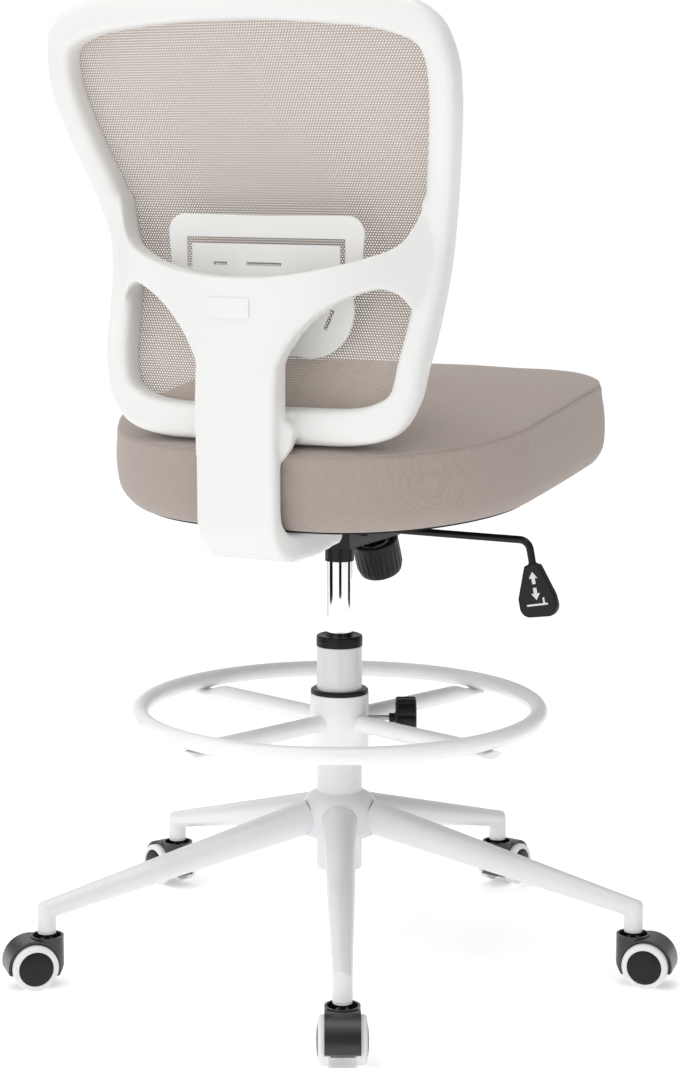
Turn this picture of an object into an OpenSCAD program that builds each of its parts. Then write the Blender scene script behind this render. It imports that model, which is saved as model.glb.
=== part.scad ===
// Drafting chair: five-leg base on twin-wheel casters, height-adjustable column with a
// clamped foot ring, tilt mechanism, upholstered seat and a mesh back on a moulded frame.
// The chair faces -Y, +Z is up, and the origin is on the floor under the column's axis.
// Heights are given above a datum that lies floor_z below the floor; on_floor() sets
// every piece down by that much as it is placed.

/* [Base] */
// Distance from the column's axis to a caster's stem
stem_r = 333.6; // [310:1:350]
// Direction of the first leg, in degrees
leg_turn = 118.5; // [90:0.5:150]
// Diameter of a leg where it enters the hub
leg_root_d = 36; // [32:1:38]
// Diameter of a leg at its tip and of its down-turned end
leg_tip_d = 20.5; // [20:0.5:22]
// Height of a leg's centre line at its tip
leg_tip_z = 90; // [86:1:94]
// Outer diameter of the hub that holds the legs
hub_d = 84; // [80:1:88]

/* [Casters] */
// Diameter of a caster wheel
wheel_d = 50; // [48:0.5:52]
// Distance from the swivel stem to the wheel axle
caster_trail = 17; // [15:1:19]
// Width of the gap between a caster's two wheels
wheel_gap = 26.5; // [25:0.5:28]

/* [Column] */
// Outer diameter of the column's fixed tube
tube_d = 50; // [50:1:52]
// Height of the top of the fixed tube
tube_top = 360; // [350:1:370]
// Diameter of the sliding gas cylinder
cylinder_d = 28; // [27:0.5:28]
// Height of the gas cylinder's shoulder, where it enters the mechanism
cylinder_top = 455; // [450:1:460]

/* [Foot ring] */
// Radius of the ring's centre line
ring_r = 220.8; // [210:1:225]
// Diameter of the ring's tube and of its spokes
ring_tube_d = 19; // [18:0.5:20]
// Height of the ring's centre line
ring_z = 288; // [280:1:296]
// Direction of the first spoke, in degrees
spoke_turn = 73; // [60:1:80]

/* [Seat] */
// Width of the cushion at its seam
seat_w = 466; // [440:1:480]
// Distance from the column's axis to the front seam
seat_front = 233; // [220:1:245]
// Distance from the column's axis to the rear seam
seat_rear = 197; // [190:1:198]
// Height of the cushion's side wall
seat_wall = 81; // [76:1:81]
// Rise of the crown above the seam
seat_crown = 24; // [15:1:30]
// How far the seat tips back at rest, in degrees
seat_slope = 6.2; // [4:0.1:7]
// Height of the cushion's underside where the column's axis meets it
seat_base_z = 534; // [532:1:538]

/* [Back] */
// Width of the back frame's rails, seen from behind
rail_w = 28; // [26:1:30]
// Depth of the back frame's rails
rail_d = 32; // [28:1:34]
// Width of the back's upright
spine_w = 92; // [86:1:96]
// Height of the back frame's top
back_top_z = 1066; // [1050:1:1080]

/* [Hidden] */
$fn = 64;

white_steel = [0.93, 0.93, 0.95];
white_plastic = [0.94, 0.94, 0.92];
black_plastic = [0.10, 0.10, 0.11];
black_steel = [0.07, 0.07, 0.08];
zinc = [0.70, 0.71, 0.72];
chrome = [0.80, 0.80, 0.82];
fabric = [0.66, 0.61, 0.57];

run = 0.05;          // radial clearance of a running fit
gap = 0.3;           // clearance between faces of bodies that pass each other

// Base
leg_wall = 1.5;
leg_root_z = 167;
leg_root_r = 42;
leg_slope = atan((leg_root_z - leg_tip_z) / (stem_r - leg_root_r));
leg_in_r = 36;                        // where a leg ends inside the hub
leg_in_z = leg_tip_z + (stem_r - leg_in_r) * tan(leg_slope);
leg_len = (stem_r - leg_in_r) / cos(leg_slope);
leg_end_z = 66;
hub_z0 = 148;
hub_z1 = 196;
hub_shoulder = 20;

// Casters
floor_z = 7;                          // the floor's height above the datum
wheel_r = wheel_d / 2;
axle_z = floor_z + wheel_r;
tread_w = 10.5;
core_r = 18.5;
dome_h = 2.75;
hood_w = 37;
hood_r = wheel_r + 4;
hood_arch_r = wheel_r + 1.5;         // room for the wheels to turn in
cup_r = 18.1;
cup_top = 62;
cup_floor = 48;
cup_z0 = 33;
web_z0 = 21;
pin_z0 = 36;
fender_drop = 8;                      // how far the hood reaches below the axle
stem_d = 11;
axle_d = 6;
socket_z1 = leg_end_z + 34;

// Column
tube_z0 = 108;
tube_wall = 2;
tube_floor = 4;
cap_h = 12;
sleeve_z0 = 290;
rod_d = 10;
cyl_z0 = 195;
cyl_bore_d = 22;
piston_z0 = 328;
taper_top = 497;
taper_r = 12.8;
button_d = 8;
button_top = 503;

// Foot ring
collar_z0 = 247;
collar_z1 = 307;
collar_d = 65;
bush_d = 53;
spoke_z = 276;
clamp_turn = 208;
clamp_z = 278;
screw_d = 6;

// Tilt mechanism
pivot_y = -25;
pivot_z = 505;
axle_tilt_d = 10;
housing_w = 84;
housing_wall = 3;
housing_z0 = 478;
cup_d = 32;
lever_y = 20;
lever_z = 497;
lever_d = 8;
lever_hole_d = 15;
bolt_d = 10;
knob_d = 53;
knob_h = 47;
knob_y = -93;
knob_z = 447;
knob_lean = 24;
spring_turns = 5;

// Seat
board_t = 12;
plate_t = 3;
plate_w = 150;

// ---------------------------------------------------------------- shared shapes

// Points along an arc from angle a0 to a1.
function arc(cx, cy, r, a0, a1, n = 8) =
    [for (i = [0:n]) let (a = a0 + (a1 - a0) * i / n) [cx + r * cos(a), cy + r * sin(a)]];

// A half outline that starts and ends on the middle line, with its mirror image added.
function both_sides(half) = concat(
    half, [for (i = [len(half) - 2:-1:1]) [-half[i][0], half[i][1]]]
);

// A straight tube or rod between two heights.
module tube(d, bore, z0, z1) {
    translate([0, 0, z0]) difference() {
        cylinder(d = d, h = z1 - z0);
        translate([0, 0, -1]) cylinder(d = bore, h = z1 - z0 + 2);
    }
}

module rod(d, z0, z1) {
    translate([0, 0, z0]) cylinder(d = d, h = z1 - z0);
}

// Children laid along +X at height z, starting r from the column's axis.
module pointing(turn, r, z) {
    rotate([0, 0, turn]) translate([r, 0, z]) rotate([0, 90, 0]) children();
}

// A vertical outline in Y and Z, extruded across X to the given width.
module side_plate(w, points) {
    rotate([90, 0, 90]) translate([0, 0, -w / 2]) linear_extrude(w) polygon(points);
}

// An outline in X and Z, extruded from y0 to y1.
module front_plate(y0, y1) {
    translate([0, y1, 0]) rotate([90, 0, 0]) linear_extrude(y1 - y0) children();
}

// Seat pieces are drawn level, then tipped back about the cushion's underside.
module on_seat() {
    translate([0, 0, seat_base_z]) rotate([-seat_slope, 0, 0]) children();
}

// Everything is drawn from the datum and set down on the floor as it is placed.
module on_floor() {
    translate([0, 0, -floor_z]) children();
}

module at_leg(k) {
    rotate([0, 0, leg_turn + 72 * (k - 1)]) children();
}

module at_caster(k) {
    at_leg(k) translate([stem_r, 0, 0]) children();
}

// ---------------------------------------------------------------- base

// The tapered tube of one leg; grow widens it, for the openings in the hub.
module leg_taper(grow) {
    translate([leg_in_r, 0, leg_in_z]) rotate([0, 90 + leg_slope, 0])
        cylinder(d1 = leg_root_d + 1.5 + 2 * grow, d2 = leg_tip_d - 0.6 + 2 * grow, h = leg_len);
}

// One leg: a tapered tube, mitred into a short upright tube that takes the caster.
module one_leg() {
    difference() {
        union() {
            difference() {
                leg_taper(0);
                translate([stem_r, -50, 0]) cube([100, 100, 200]);
            }
            difference() {
                translate([stem_r, 0, 0]) rod(leg_tip_d, leg_end_z, leg_tip_z + 30);
                translate([stem_r, 0, leg_tip_z]) rotate([0, leg_slope, 0])
                    translate([-60, -60, leg_tip_d / 2 - 0.5]) cube([120, 120, 60]);
            }
        }
        translate([leg_in_r, 0, leg_in_z]) rotate([0, 90 + leg_slope, 0]) translate([0, 0, -1])
            cylinder(
                d1 = leg_root_d + 1.5 - 2 * leg_wall, d2 = leg_tip_d - 2 - 2 * leg_wall, h = leg_len - 14
            );
        translate([stem_r, 0, leg_end_z - 1])
            cylinder(d = leg_tip_d - 2 * leg_wall, h = socket_z1 - 8 - leg_end_z + 1);
    }
}

module base_legs() {
    color(white_steel) for (k = [1:5]) at_leg(k) one_leg();
}

module base_hub() {
    color(white_steel) difference() {
        rotate_extrude() polygon(concat(
            [[tube_d / 2, hub_z0 + 2], [hub_d / 2 - 4, hub_z0]],
            arc(hub_d / 2 - 4, hub_z0 + 4, 4, -90, 0, 4),
            arc(hub_d / 2 - hub_shoulder, hub_z1 - hub_shoulder, hub_shoulder, 0, 72, 8),
            [[tube_d / 2, hub_z1]]
        ));
        for (k = [1:5]) at_leg(k) leg_taper(0);
    }
}

module base_sockets() {
    color(white_plastic) for (k = [1:5]) at_caster(k) {
        tube(leg_tip_d - 2 * leg_wall, stem_d + 2 * run, leg_end_z, socket_z1 - 8);
        tube(leg_tip_d - 0.5, stem_d + 2 * run, leg_end_z - 1.5, leg_end_z);
    }
}

// ---------------------------------------------------------------- casters
// Drawn with the stem's axis on Z, trailing towards +X.

// Its children's cylinders lie along the axle.
module across_axle() {
    translate([caster_trail, 0, axle_z]) rotate([90, 0, 0]) children();
}

// The part of the hood behind the axle, down to its lower edge.
module fender() {
    across_axle() translate([0, 0, -hood_w / 2]) difference() {
        cylinder(r = hood_r, h = hood_w);
        translate([0, 0, -1]) cylinder(r = hood_arch_r, h = hood_w + 2);
        translate([-60, -60, -1]) cube([120, 60 - fender_drop, hood_w + 2]);
        translate([-60, -60, -1]) cube([60, 120, hood_w + 2]);
    }
}

// Room for one pair of wheels: everything outside the hood's middle web.
module wheel_room(r, web) {
    across_axle() for (side = [-1, 1])
        translate([0, 0, side * (30 + web / 2) - 30]) cylinder(r = r, h = 60);
}

module caster_hood(k) {
    web = wheel_gap - 2;
    color(black_plastic) at_caster(k) difference() {
        union() {
            fender();
            translate([0, -web / 2, web_z0]) cube([caster_trail + hood_r - 3, web, hood_r + 4]);
            rod(2 * cup_r, cup_z0, cup_top);
        }
        across_axle() translate([0, 0, -40]) cylinder(d = axle_d, h = 80);
        wheel_room(hood_arch_r, web);
        across_axle() difference() {
            translate([0, 0, -50]) cylinder(r = hood_r + 20, h = 100);
            translate([0, 0, -51]) cylinder(r = hood_r, h = 102);
            translate([-60 - 2, -60, -51]) cube([60, 140, 102]);
        }
        difference() {
            rod(2 * cup_r - 6, cup_floor, cup_top + 1);
            wheel_room(hood_arch_r + 1.5, web - 3);
        }
        rod(stem_d - 2, pin_z0, cup_floor + 1);
    }
}

module caster_pins(k) {
    color(black_steel) at_caster(k) {
        union() {
            rod(stem_d - 2, pin_z0, leg_end_z - 2);
            rod(stem_d, leg_end_z - 2, socket_z1 - 9);
        }
        across_axle() translate([0, 0, -23.5]) cylinder(d = axle_d, h = 47);
    }
}

// Spins its children's X and Y profile about the axle; side is +1 or -1.
module on_axle(k, side) {
    at_caster(k) translate([caster_trail, 0, axle_z]) rotate([-90 * side, 0, 0])
        rotate_extrude() children();
}

module wheel_core(k, side) {
    in_f = wheel_gap / 2;
    out_f = in_f + tread_w;
    color(black_plastic) on_axle(k, side) polygon(concat(
        [[axle_d / 2 + run, in_f], [core_r, in_f], [core_r, out_f]],
        [for (i = [1:6]) [core_r * cos(15 * i), out_f + dome_h * sin(15 * i)]],
        [[0, out_f - 0.2], [axle_d / 2 + run, out_f - 0.2]]
    ));
}

module wheel_tread(k, side) {
    in_f = wheel_gap / 2;
    out_f = in_f + tread_w;
    color(white_plastic) on_axle(k, side) polygon([
        [core_r, in_f], [wheel_r - 1, in_f], [wheel_r, in_f + 1],
        [wheel_r, out_f - 3], [wheel_r - 2.5, out_f], [core_r, out_f]
    ]);
}

// ---------------------------------------------------------------- column

module column_tube() {
    color(white_steel) union() {
        tube(tube_d, tube_d - 2 * tube_wall, tube_z0 + tube_floor, tube_top);
        tube(tube_d, rod_d, tube_z0, tube_z0 + tube_floor);
    }
}

module column_bushing() {
    color(black_plastic) difference() {
        union() {
            rod(tube_d - 2 * tube_wall, sleeve_z0, tube_top);
            rod(tube_d + 1, tube_top, tube_top + cap_h - 2);
            translate([0, 0, tube_top + cap_h - 2]) cylinder(d1 = tube_d + 1, d2 = tube_d - 3, h = 2);
        }
        rod(cylinder_d + 2 * run, sleeve_z0 - 1, tube_top + cap_h + 1);
        translate([0, 0, tube_top + cap_h - 3]) cylinder(d1 = 32, d2 = 38, h = 4);
    }
}

module piston_rod() {
    color(zinc) union() {
        rod(rod_d, tube_z0 - 6, piston_z0 + 1);
        rod(cyl_bore_d - 2 * run, piston_z0, piston_z0 + 8);
    }
}

module rod_bearing() {
    color(zinc) {
        tube(32, rod_d, tube_z0 + tube_floor, tube_z0 + tube_floor + 5);
        tube(18, rod_d, tube_z0 - 2, tube_z0);
    }
}

module gas_cylinder() {
    color(chrome) difference() {
        union() {
            rod(cylinder_d, cyl_z0, cylinder_top);
            translate([0, 0, cylinder_top])
                cylinder(r1 = cylinder_d / 2, r2 = taper_r, h = taper_top - cylinder_top);
        }
        rod(cyl_bore_d, cyl_z0 + 10, cylinder_top - 5);
        rod(rod_d + 2 * run, cyl_z0 - 1, cyl_z0 + 11);
        rod(button_d + 2 * run, taper_top - 20, taper_top + 1);
    }
}

module valve_button() {
    color(zinc) rod(button_d, taper_top - 13, button_top);
}

// ---------------------------------------------------------------- foot ring

module footrest_collar() {
    color(white_steel) difference() {
        union() {
            rod(collar_d, collar_z0, collar_z1);
            pointing(clamp_turn, bush_d / 2 + 2, clamp_z) cylinder(d = 14, h = 43 - bush_d / 2 - 2);
        }
        rod(bush_d, collar_z0 - 1, collar_z1 + 1);
        pointing(clamp_turn, 0, clamp_z) cylinder(d = screw_d + 2 * run, h = 60);
    }
}

module footrest_bushing() {
    color(black_plastic) difference() {
        union() {
            rod(bush_d, collar_z0, collar_z1);
            rod(collar_d - 1, collar_z1, collar_z1 + 4);
            translate([0, 0, collar_z1 + 4]) cylinder(d1 = collar_d - 1, d2 = collar_d - 4, h = 1);
        }
        rod(tube_d + 2 * run, collar_z0 - 1, collar_z1 + 6);
        pointing(clamp_turn, 0, clamp_z) cylinder(d = screw_d + 2 * run, h = 60);
    }
}

// One spoke: a round tube with its outer end pressed flat to pass under the ring.
module one_spoke() {
    flat_z = ring_z - ring_tube_d / 2 - 8;
    difference() {
        union() {
            translate([30, 0, spoke_z]) rotate([0, 90, 0]) cylinder(d = ring_tube_d, h = 160);
            hull() {
                translate([189, 0, spoke_z]) rotate([0, 90, 0]) cylinder(d = ring_tube_d, h = 1, $fn = 32);
                translate([210, -12, flat_z]) cube([1, 24, 8]);
            }
            translate([210, -12, flat_z]) cube([26, 24, 8]);
        }
        rod(collar_d, collar_z0, collar_z1);
        translate([226, -9, flat_z + 3]) cube([20, 18, 2]);
    }
}

module footrest_spokes() {
    color(white_steel) for (k = [0:3]) rotate([0, 0, spoke_turn + 90 * k]) one_spoke();
}

module footrest_ring() {
    color(white_steel) translate([0, 0, ring_z]) rotate_extrude($fn = 96)
        translate([ring_r, 0]) circle(d = ring_tube_d, $fn = 32);
}

module clamp_screw() {
    color(zinc) pointing(clamp_turn, tube_d / 2 + gap, clamp_z) cylinder(d = screw_d, h = 60 - tube_d / 2);
}

module clamp_knob() {
    color(black_plastic) difference() {
        union() {
            pointing(clamp_turn, 54, clamp_z) cylinder(d = 10, h = 9);
            pointing(clamp_turn, 62, clamp_z) cylinder(d = 46, h = 22);
            pointing(clamp_turn, 84, clamp_z) cylinder(d1 = 46, d2 = 40, h = 3);
        }
        pointing(clamp_turn, 53, clamp_z) cylinder(d = screw_d, h = 7 + gap);
    }
}

// ---------------------------------------------------------------- tilt mechanism

// Side view of the pressed housing, set in by t from its outer faces.
function housing_side(t) = [
    [-104 + t, 497 + t], [-64 + t * 0.3, housing_z0 + t], [56 - t, housing_z0 + t],
    [56 - t, t > 0 ? 540 : 497], [0, t > 0 ? 540 : 513], [-40, t > 0 ? 540 : 520],
    [-104 + t, t > 0 ? 540 : 520]
];

// Children laid along the tension bolt, from the knob's middle upwards.
module on_bolt(s) {
    translate([0, knob_y, knob_z]) rotate([-knob_lean, 0, 0]) translate([0, 0, s]) children();
}

module tilt_housing() {
    color(black_steel) difference() {
        union() {
            difference() {
                side_plate(housing_w, housing_side(0));
                side_plate(housing_w - 2 * housing_wall, housing_side(housing_wall));
            }
            rod(cup_d, cylinder_top, housing_z0 + 1);
            rod(38, housing_z0, taper_top - 1);
            for (s = [-1, 1]) translate([s * (housing_w / 2 - 5), pivot_y, pivot_z])
                rotate([0, 90, 0]) cylinder(d = 17, h = 10, center = true);
        }
        translate([0, 0, cylinder_top - 1]) cylinder(
            r1 = cylinder_d / 2 + run + (cylinder_d / 2 - taper_r) / (taper_top - cylinder_top),
            r2 = taper_r + run, h = taper_top - cylinder_top + 1);
        rod(2 * (taper_r + run), taper_top - 2, taper_top + 5);
        translate([0, pivot_y, pivot_z]) rotate([0, 90, 0]) cylinder(d = axle_tilt_d, h = 120, center = true);
        translate([-9, -99, 470]) cube([18, 36, 40]);
        translate([-housing_w / 2, lever_y, lever_z]) rotate([0, 90, 0])
            cylinder(d = lever_hole_d, h = 20, center = true);
    }
}

module tilt_axle() {
    color(zinc) translate([0, pivot_y, pivot_z]) rotate([0, 90, 0]) union() {
        cylinder(d = axle_tilt_d, h = 110, center = true);
        for (s = [-1, 1]) translate([0, 0, s * 54]) cylinder(d = 15, h = 3, center = true);
    }
}

// Points on the spring's wire section number j of ring i, along the coil.
spring_r = 17;
spring_wire = 2;
spring_s0 = -15;
spring_h = 52.5;
spring_rings = 72;
function coil_point(i, j) = let (
    a = 360 * spring_turns * i / spring_rings,
    w = 45 * j,
    r = spring_r + spring_wire * cos(w)
) [r * cos(a), r * sin(a), spring_h * i / spring_rings + spring_wire * sin(w)];

module tension_spring() {
    points = [for (i = [0:spring_rings]) for (j = [0:7]) coil_point(i, j)];
    walls = [for (i = [0:spring_rings - 1]) for (j = [0:7]) let (n = (j + 1) % 8)
        [8 * i + j, 8 * i + 8 + j, 8 * i + 8 + n, 8 * i + n]];
    first = [for (j = [0:7]) j];
    last = [for (j = [7:-1:0]) 8 * spring_rings + j];
    color(zinc) on_bolt(spring_s0) polyhedron(points, concat(walls, [first, last]), convexity = 10);
}

module tension_bolt() {
    color(zinc) on_bolt(-18) cylinder(d = bolt_d, h = 106);
}

module tension_knob() {
    color(black_plastic) on_bolt(-knob_h / 2) difference() {
        union() {
            difference() {
                union() {
                    cylinder(d1 = knob_d - 4, d2 = knob_d, h = 3);
                    translate([0, 0, 3]) cylinder(d = knob_d, h = knob_h - 3);
                }
                translate([0, 0, 6]) cylinder(d = knob_d - 8, h = knob_h);
                for (k = [0:23]) rotate([0, 0, 15 * k]) translate([knob_d / 2 + 1.2, 0, -1])
                    cylinder(d = 4, h = knob_h - 4, $fn = 16);
            }
            cylinder(d = 20, h = 16);
        }
        translate([0, 0, 4]) cylinder(d = bolt_d + 2 * run, h = 20);
    }
}

module lever_bush() {
    color(black_plastic) translate([0, lever_y, lever_z]) rotate([0, -90, 0]) difference() {
        union() {
            rod(lever_hole_d - 2 * run, 30, 48);
            rod(lever_hole_d + 4, housing_w / 2 + gap, 48);
        }
        rod(lever_d + 3, 29, 49);
    }
}

lever_out = 225;     // reach of the lever's straight stretch
lever_bend = 12;
drop_lean = 11;      // outward lean of the lever's down-turned end, in degrees

module lever_rod() {
    tongue_z = button_top + 1.6;
    color(black_steel) union() {
        translate([-18, lever_y, lever_z]) rotate([0, -90, 0]) cylinder(d = lever_d, h = lever_out - 18);
        translate([-lever_out, lever_y, lever_z - lever_bend]) rotate([90, 0, 0])
            rotate([0, 0, 90]) rotate_extrude(angle = 90 - drop_lean) translate([lever_bend, 0])
                circle(d = lever_d, $fn = 32);
        translate([-lever_out, lever_y, lever_z - lever_bend]) rotate([0, drop_lean, 0])
            translate([-lever_bend, 0, -34]) cylinder(d = lever_d, h = 34);
        translate([-28, lever_y - 4, lever_z]) cube([10, 8, tongue_z + 1 - lever_z]);
        translate([-28, -8, tongue_z]) cube([46, lever_y + 12, 3]);
    }
}

module lever_paddle() {
    top_w = 17;
    low_w = 43;
    h = 56;
    color(black_plastic) translate([-lever_out, lever_y, lever_z - lever_bend]) rotate([0, drop_lean, 0])
        translate([-lever_bend, 0, -16 - h]) difference() {
            front_plate(-5, 5) polygon(concat(
                [[-top_w / 2, h], [-low_w / 2, 14]],
                arc(-low_w / 2 + 12, 12, 12, 180, 270, 6),
                arc(low_w / 2 - 12, 12, 12, 270, 360, 6),
                [[low_w / 2, 14], [top_w / 2, h]]
            ));
            rod(lever_d, h - 18, h + 1);
        }
}

// ---------------------------------------------------------------- seat

// Plan of the seat: small front corners, large rear corners.
module seat_plan(inset, rear_inset = 0) {
    hw = seat_w / 2 - inset;
    fr = 67 - inset * 0.5;
    rr = 180 - inset;
    yf = -seat_front + inset;
    yr = seat_rear - max(inset, rear_inset);
    polygon(concat(
        arc(hw - rr, yr - rr, rr, 0, 90, 12),
        arc(-hw + rr, yr - rr, rr, 90, 180, 12),
        arc(-hw + fr, yf + fr, fr, 180, 270, 8),
        arc(hw - fr, yf + fr, fr, 270, 360, 8)
    ));
}

module seat_cushion() {
    color(fabric) on_seat() difference() {
        hull() {
            translate([0, 0, 2]) linear_extrude(1) seat_plan(12);
            translate([0, 0, 25]) linear_extrude(seat_wall - 35) seat_plan(-4);
            translate([0, 0, seat_wall - 1]) linear_extrude(1) seat_plan(2);
            translate([0, 0, seat_wall + seat_crown * 0.7]) linear_extrude(1) seat_plan(50, 110);
            translate([0, 0, seat_wall + seat_crown - 1]) linear_extrude(1) seat_plan(110, 130);
        }
        translate([0, 0, 0]) linear_extrude(board_t) seat_plan(20);
    }
}

module seat_board() {
    color(black_plastic) on_seat() linear_extrude(board_t) seat_plan(20);
}

bolt_spots = [[-60, 120], [60, 120], [-60, -75], [60, -75]];
foot_spots = [[-26, 92], [26, 92], [-26, 140], [26, 140]];

module seat_plate() {
    color(black_steel) difference() {
        union() {
            on_seat() translate([-plate_w / 2, -95, -plate_t]) cube([plate_w, 248, plate_t]);
            for (s = [-1, 1]) difference() {
                translate([s * 46 - 1.5, pivot_y - 14, pivot_z - 11]) cube([3, 28, 40]);
                on_seat() translate([-100, -150, -plate_t]) cube([200, 300, 50]);
            }
            intersection() {
                on_bolt(78) cylinder(d = 20, h = 30);
                on_seat() translate([-100, -150, -40]) cube([200, 300, 40]);
            }
        }
        translate([0, pivot_y, pivot_z]) rotate([0, 90, 0])
            cylinder(d = axle_tilt_d + 2 * run, h = 120, center = true);
        on_seat() for (p = concat(bolt_spots, foot_spots))
            translate([p[0], p[1], -10]) cylinder(d = 6.4, h = 20);
        on_bolt(70) cylinder(d = bolt_d, h = 18);
    }
}

// Identical screws: four into the board, four up through the foot of the back.
module seat_bolts() {
    color(zinc) on_seat() {
        for (p = bolt_spots) translate([p[0], p[1], 0]) {
            translate([0, 0, -plate_t - 4]) cylinder(d = 12, h = 4);
            translate([0, 0, -plate_t - 1]) cylinder(d = 6, h = plate_t + 1);
        }
        for (p = foot_spots) translate([p[0], p[1], 0]) {
            translate([0, 0, -plate_t - 18]) cylinder(d = 12, h = 4);
            translate([0, 0, -plate_t - 15]) cylinder(d = 6, h = plate_t + 15);
        }
    }
}

// ---------------------------------------------------------------- back

// Mid-line of the frame's loop, from the bottom middle up one side to the top middle.
loop_half = [
    [0, 178, 623], [105, 176, 624], [146, 172, 633], [166, 169, 655], [172, 164, 690],
    [177, 150, 730], [181, 138, 775], [185, 135, 815], [196, 150, 865], [208, 171, 915],
    [216, 190, 962], [213, 202, 1000], [194, 214, 1027], [150, 225, 1040], [80, 236, 1046],
    [0, 240, back_top_z - 18]
];
loop_steps = 4;

// Centripetal-free Catmull-Rom curve between points 1 and 2 of four.
function blend4(a, b, c, d, t) = 0.5 * (
    2 * b + (c - a) * t + (2 * a - 5 * b + 4 * c - d) * t * t + (3 * b - a - 3 * c + d) * t * t * t
);
function mirror_x(p) = [-p[0], p[1], p[2]];
loop_n = len(loop_half);
loop_all = concat(loop_half, [for (i = [loop_n - 2:-1:1]) mirror_x(loop_half[i])]);
loop_count = len(loop_all);
function loop_at(i) = loop_all[(i + loop_count) % loop_count];
loop_path = [for (i = [0:loop_count - 1]) for (s = [0:loop_steps - 1])
    blend4(loop_at(i - 1), loop_at(i), loop_at(i + 1), loop_at(i + 2), s / loop_steps)];
path_count = len(loop_path);
function path_at(i) = loop_path[(i + path_count) % path_count];
function unit(v) = v / norm(v);

// A rounded section, wide across the rail and deep along Y.
section_sides = 16;
function section_shape(j, w, d) = let (
    a = 360 * j / section_sides + 11.25,
    c = cos(a),
    s = sin(a)
) [w / 2 * sign(c) * pow(abs(c), 0.6), d / 2 * sign(s) * pow(abs(s), 0.6)];
function rail_point(i, j) = let (
    p = path_at(i),
    t = unit(path_at(i + 1) - path_at(i - 1)),
    n = unit(cross(t, [0, 1, 0])),
    b = cross(n, t),
    wide = p[2] < 650 || p[2] > 1015 ? rail_w + 9 : rail_w,
    q = section_shape(j, wide, rail_d)
) p + n * q[0] + b * q[1];

module frame_loop() {
    points = [for (i = [0:path_count - 1]) for (j = [0:section_sides - 1]) rail_point(i, j)];
    faces = [for (i = [0:path_count - 1]) for (j = [0:section_sides - 1]) let (
        m = (i + 1) % path_count,
        n = (j + 1) % section_sides
    ) [section_sides * i + j, section_sides * i + n, section_sides * m + n, section_sides * m + j]];
    polyhedron(points, faces, convexity = 10);
}

// Outline of the cross-bar and the flare of the upright below it, for one half.
function crest_z(x) = 775 + 0.00122 * x * x;
flare_half = concat(
    [for (x = [0:20:190]) [x, crest_z(x)]],
    [[190, 775], [165, 766]],
    arc(165, 640, 126, 95, 158, 10),
    [[spine_w / 2, 640], [0, 640]]
);
bend_r = 250;        // plan radius of the cross-bar's curve
bar_t = 24;
bar_mid_y = 217;

module cross_bar() {
    intersection() {
        front_plate(100, 260) polygon(both_sides(flare_half));
        translate([0, bar_mid_y - bend_r, 600]) difference() {
            cylinder(r = bend_r + bar_t / 2, h = 300, $fn = 160);
            translate([0, 0, -1]) cylinder(r = bend_r - bar_t / 2, h = 302, $fn = 160);
        }
    }
}

// Side view of the upright: straight, then turned under the seat as a foot.
foot_front = 76;
foot_y1 = 155;
function under_seat(y) = seat_base_z - plate_t - 0.2 - y * tan(seat_slope);
upright_side = concat(
    [[231, 775], [228, 530]],
    arc(180, 530, 48, 0, -90, 10),
    [[foot_front + 12, 490], [foot_front, 500], [foot_front, under_seat(foot_front)],
     [foot_y1, under_seat(foot_y1)]],
    arc(185, 536, 25, -90, 0, 8),
    [[210, 640], [200, 656], [204, 775]]
);

module upright() {
    side_plate(spine_w, upright_side);
}

module back_frame() {
    color(white_plastic) difference() {
        union() {
            frame_loop();
            cross_bar();
            upright();
            for (s = [-1, 1]) hull() {
                translate([s * 20, 190, 623]) cube([30, 30, 30], center = true);
                translate([s * 30, 176, 623]) sphere(d = 26, $fn = 24);
            }
            for (z = [742:12:778]) hull() {
                translate([-30, lumbar_y + lumbar_t, z - 8]) cube([60, 46, 6]);
                translate([-28, lumbar_y + lumbar_t, z - 1]) cube([56, 46, 6]);
            }
            for (x = [-20, 20]) hull() {
                translate([x, 206, 600]) cube([20, 4, 20], center = true);
                translate([x, 200, 640]) cube([20, 4, 20], center = true);
            }
        }
        on_seat() for (p = foot_spots) {
            translate([p[0], p[1], -60]) cylinder(d = 13, h = 60 - plate_t - 14);
            translate([p[0], p[1], -60]) cylinder(d = 6.4, h = 80);
        }
    }
}

// Front face of the stretched mesh, from the loop's own mid-line.
function loop_half_at(z) = let (
    side = [for (i = [3:12]) loop_half[i]],
    k = [for (i = [0:len(side) - 2]) if (z >= side[i][2] && z <= side[i + 1][2]) i]
) len(k) == 0 ? (z < side[0][2] ? side[0] : side[len(side) - 1])
    : let (a = side[k[0]], b = side[k[0] + 1], t = (z - a[2]) / (b[2] - a[2])) a + (b - a) * t;
mesh_rows = 26;
mesh_cols = 14;
mesh_z0 = 616;
mesh_z1 = 1042;
mesh_t = 1.5;
function mesh_half_w(z) = z < 655 ? 166 - 34 * pow((655 - z) / 39, 2)
    : z > 1000 ? 213 - 60 * pow((z - 1000) / 42, 2) : loop_half_at(z)[0];
function mesh_arch(z) = z < 850 ? 0 : 34 * pow((z - 850) / 190, 1.3);
function mesh_point(r, c, t) = let (
    z = mesh_z0 + (mesh_z1 - mesh_z0) * r / mesh_rows,
    u = 2 * c / mesh_cols - 1,
    w = mesh_half_w(z),
    y = loop_half_at(z)[1] - 12 + mesh_arch(z) * (1 - u * u)
) [w * u, y + t, z];

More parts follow.
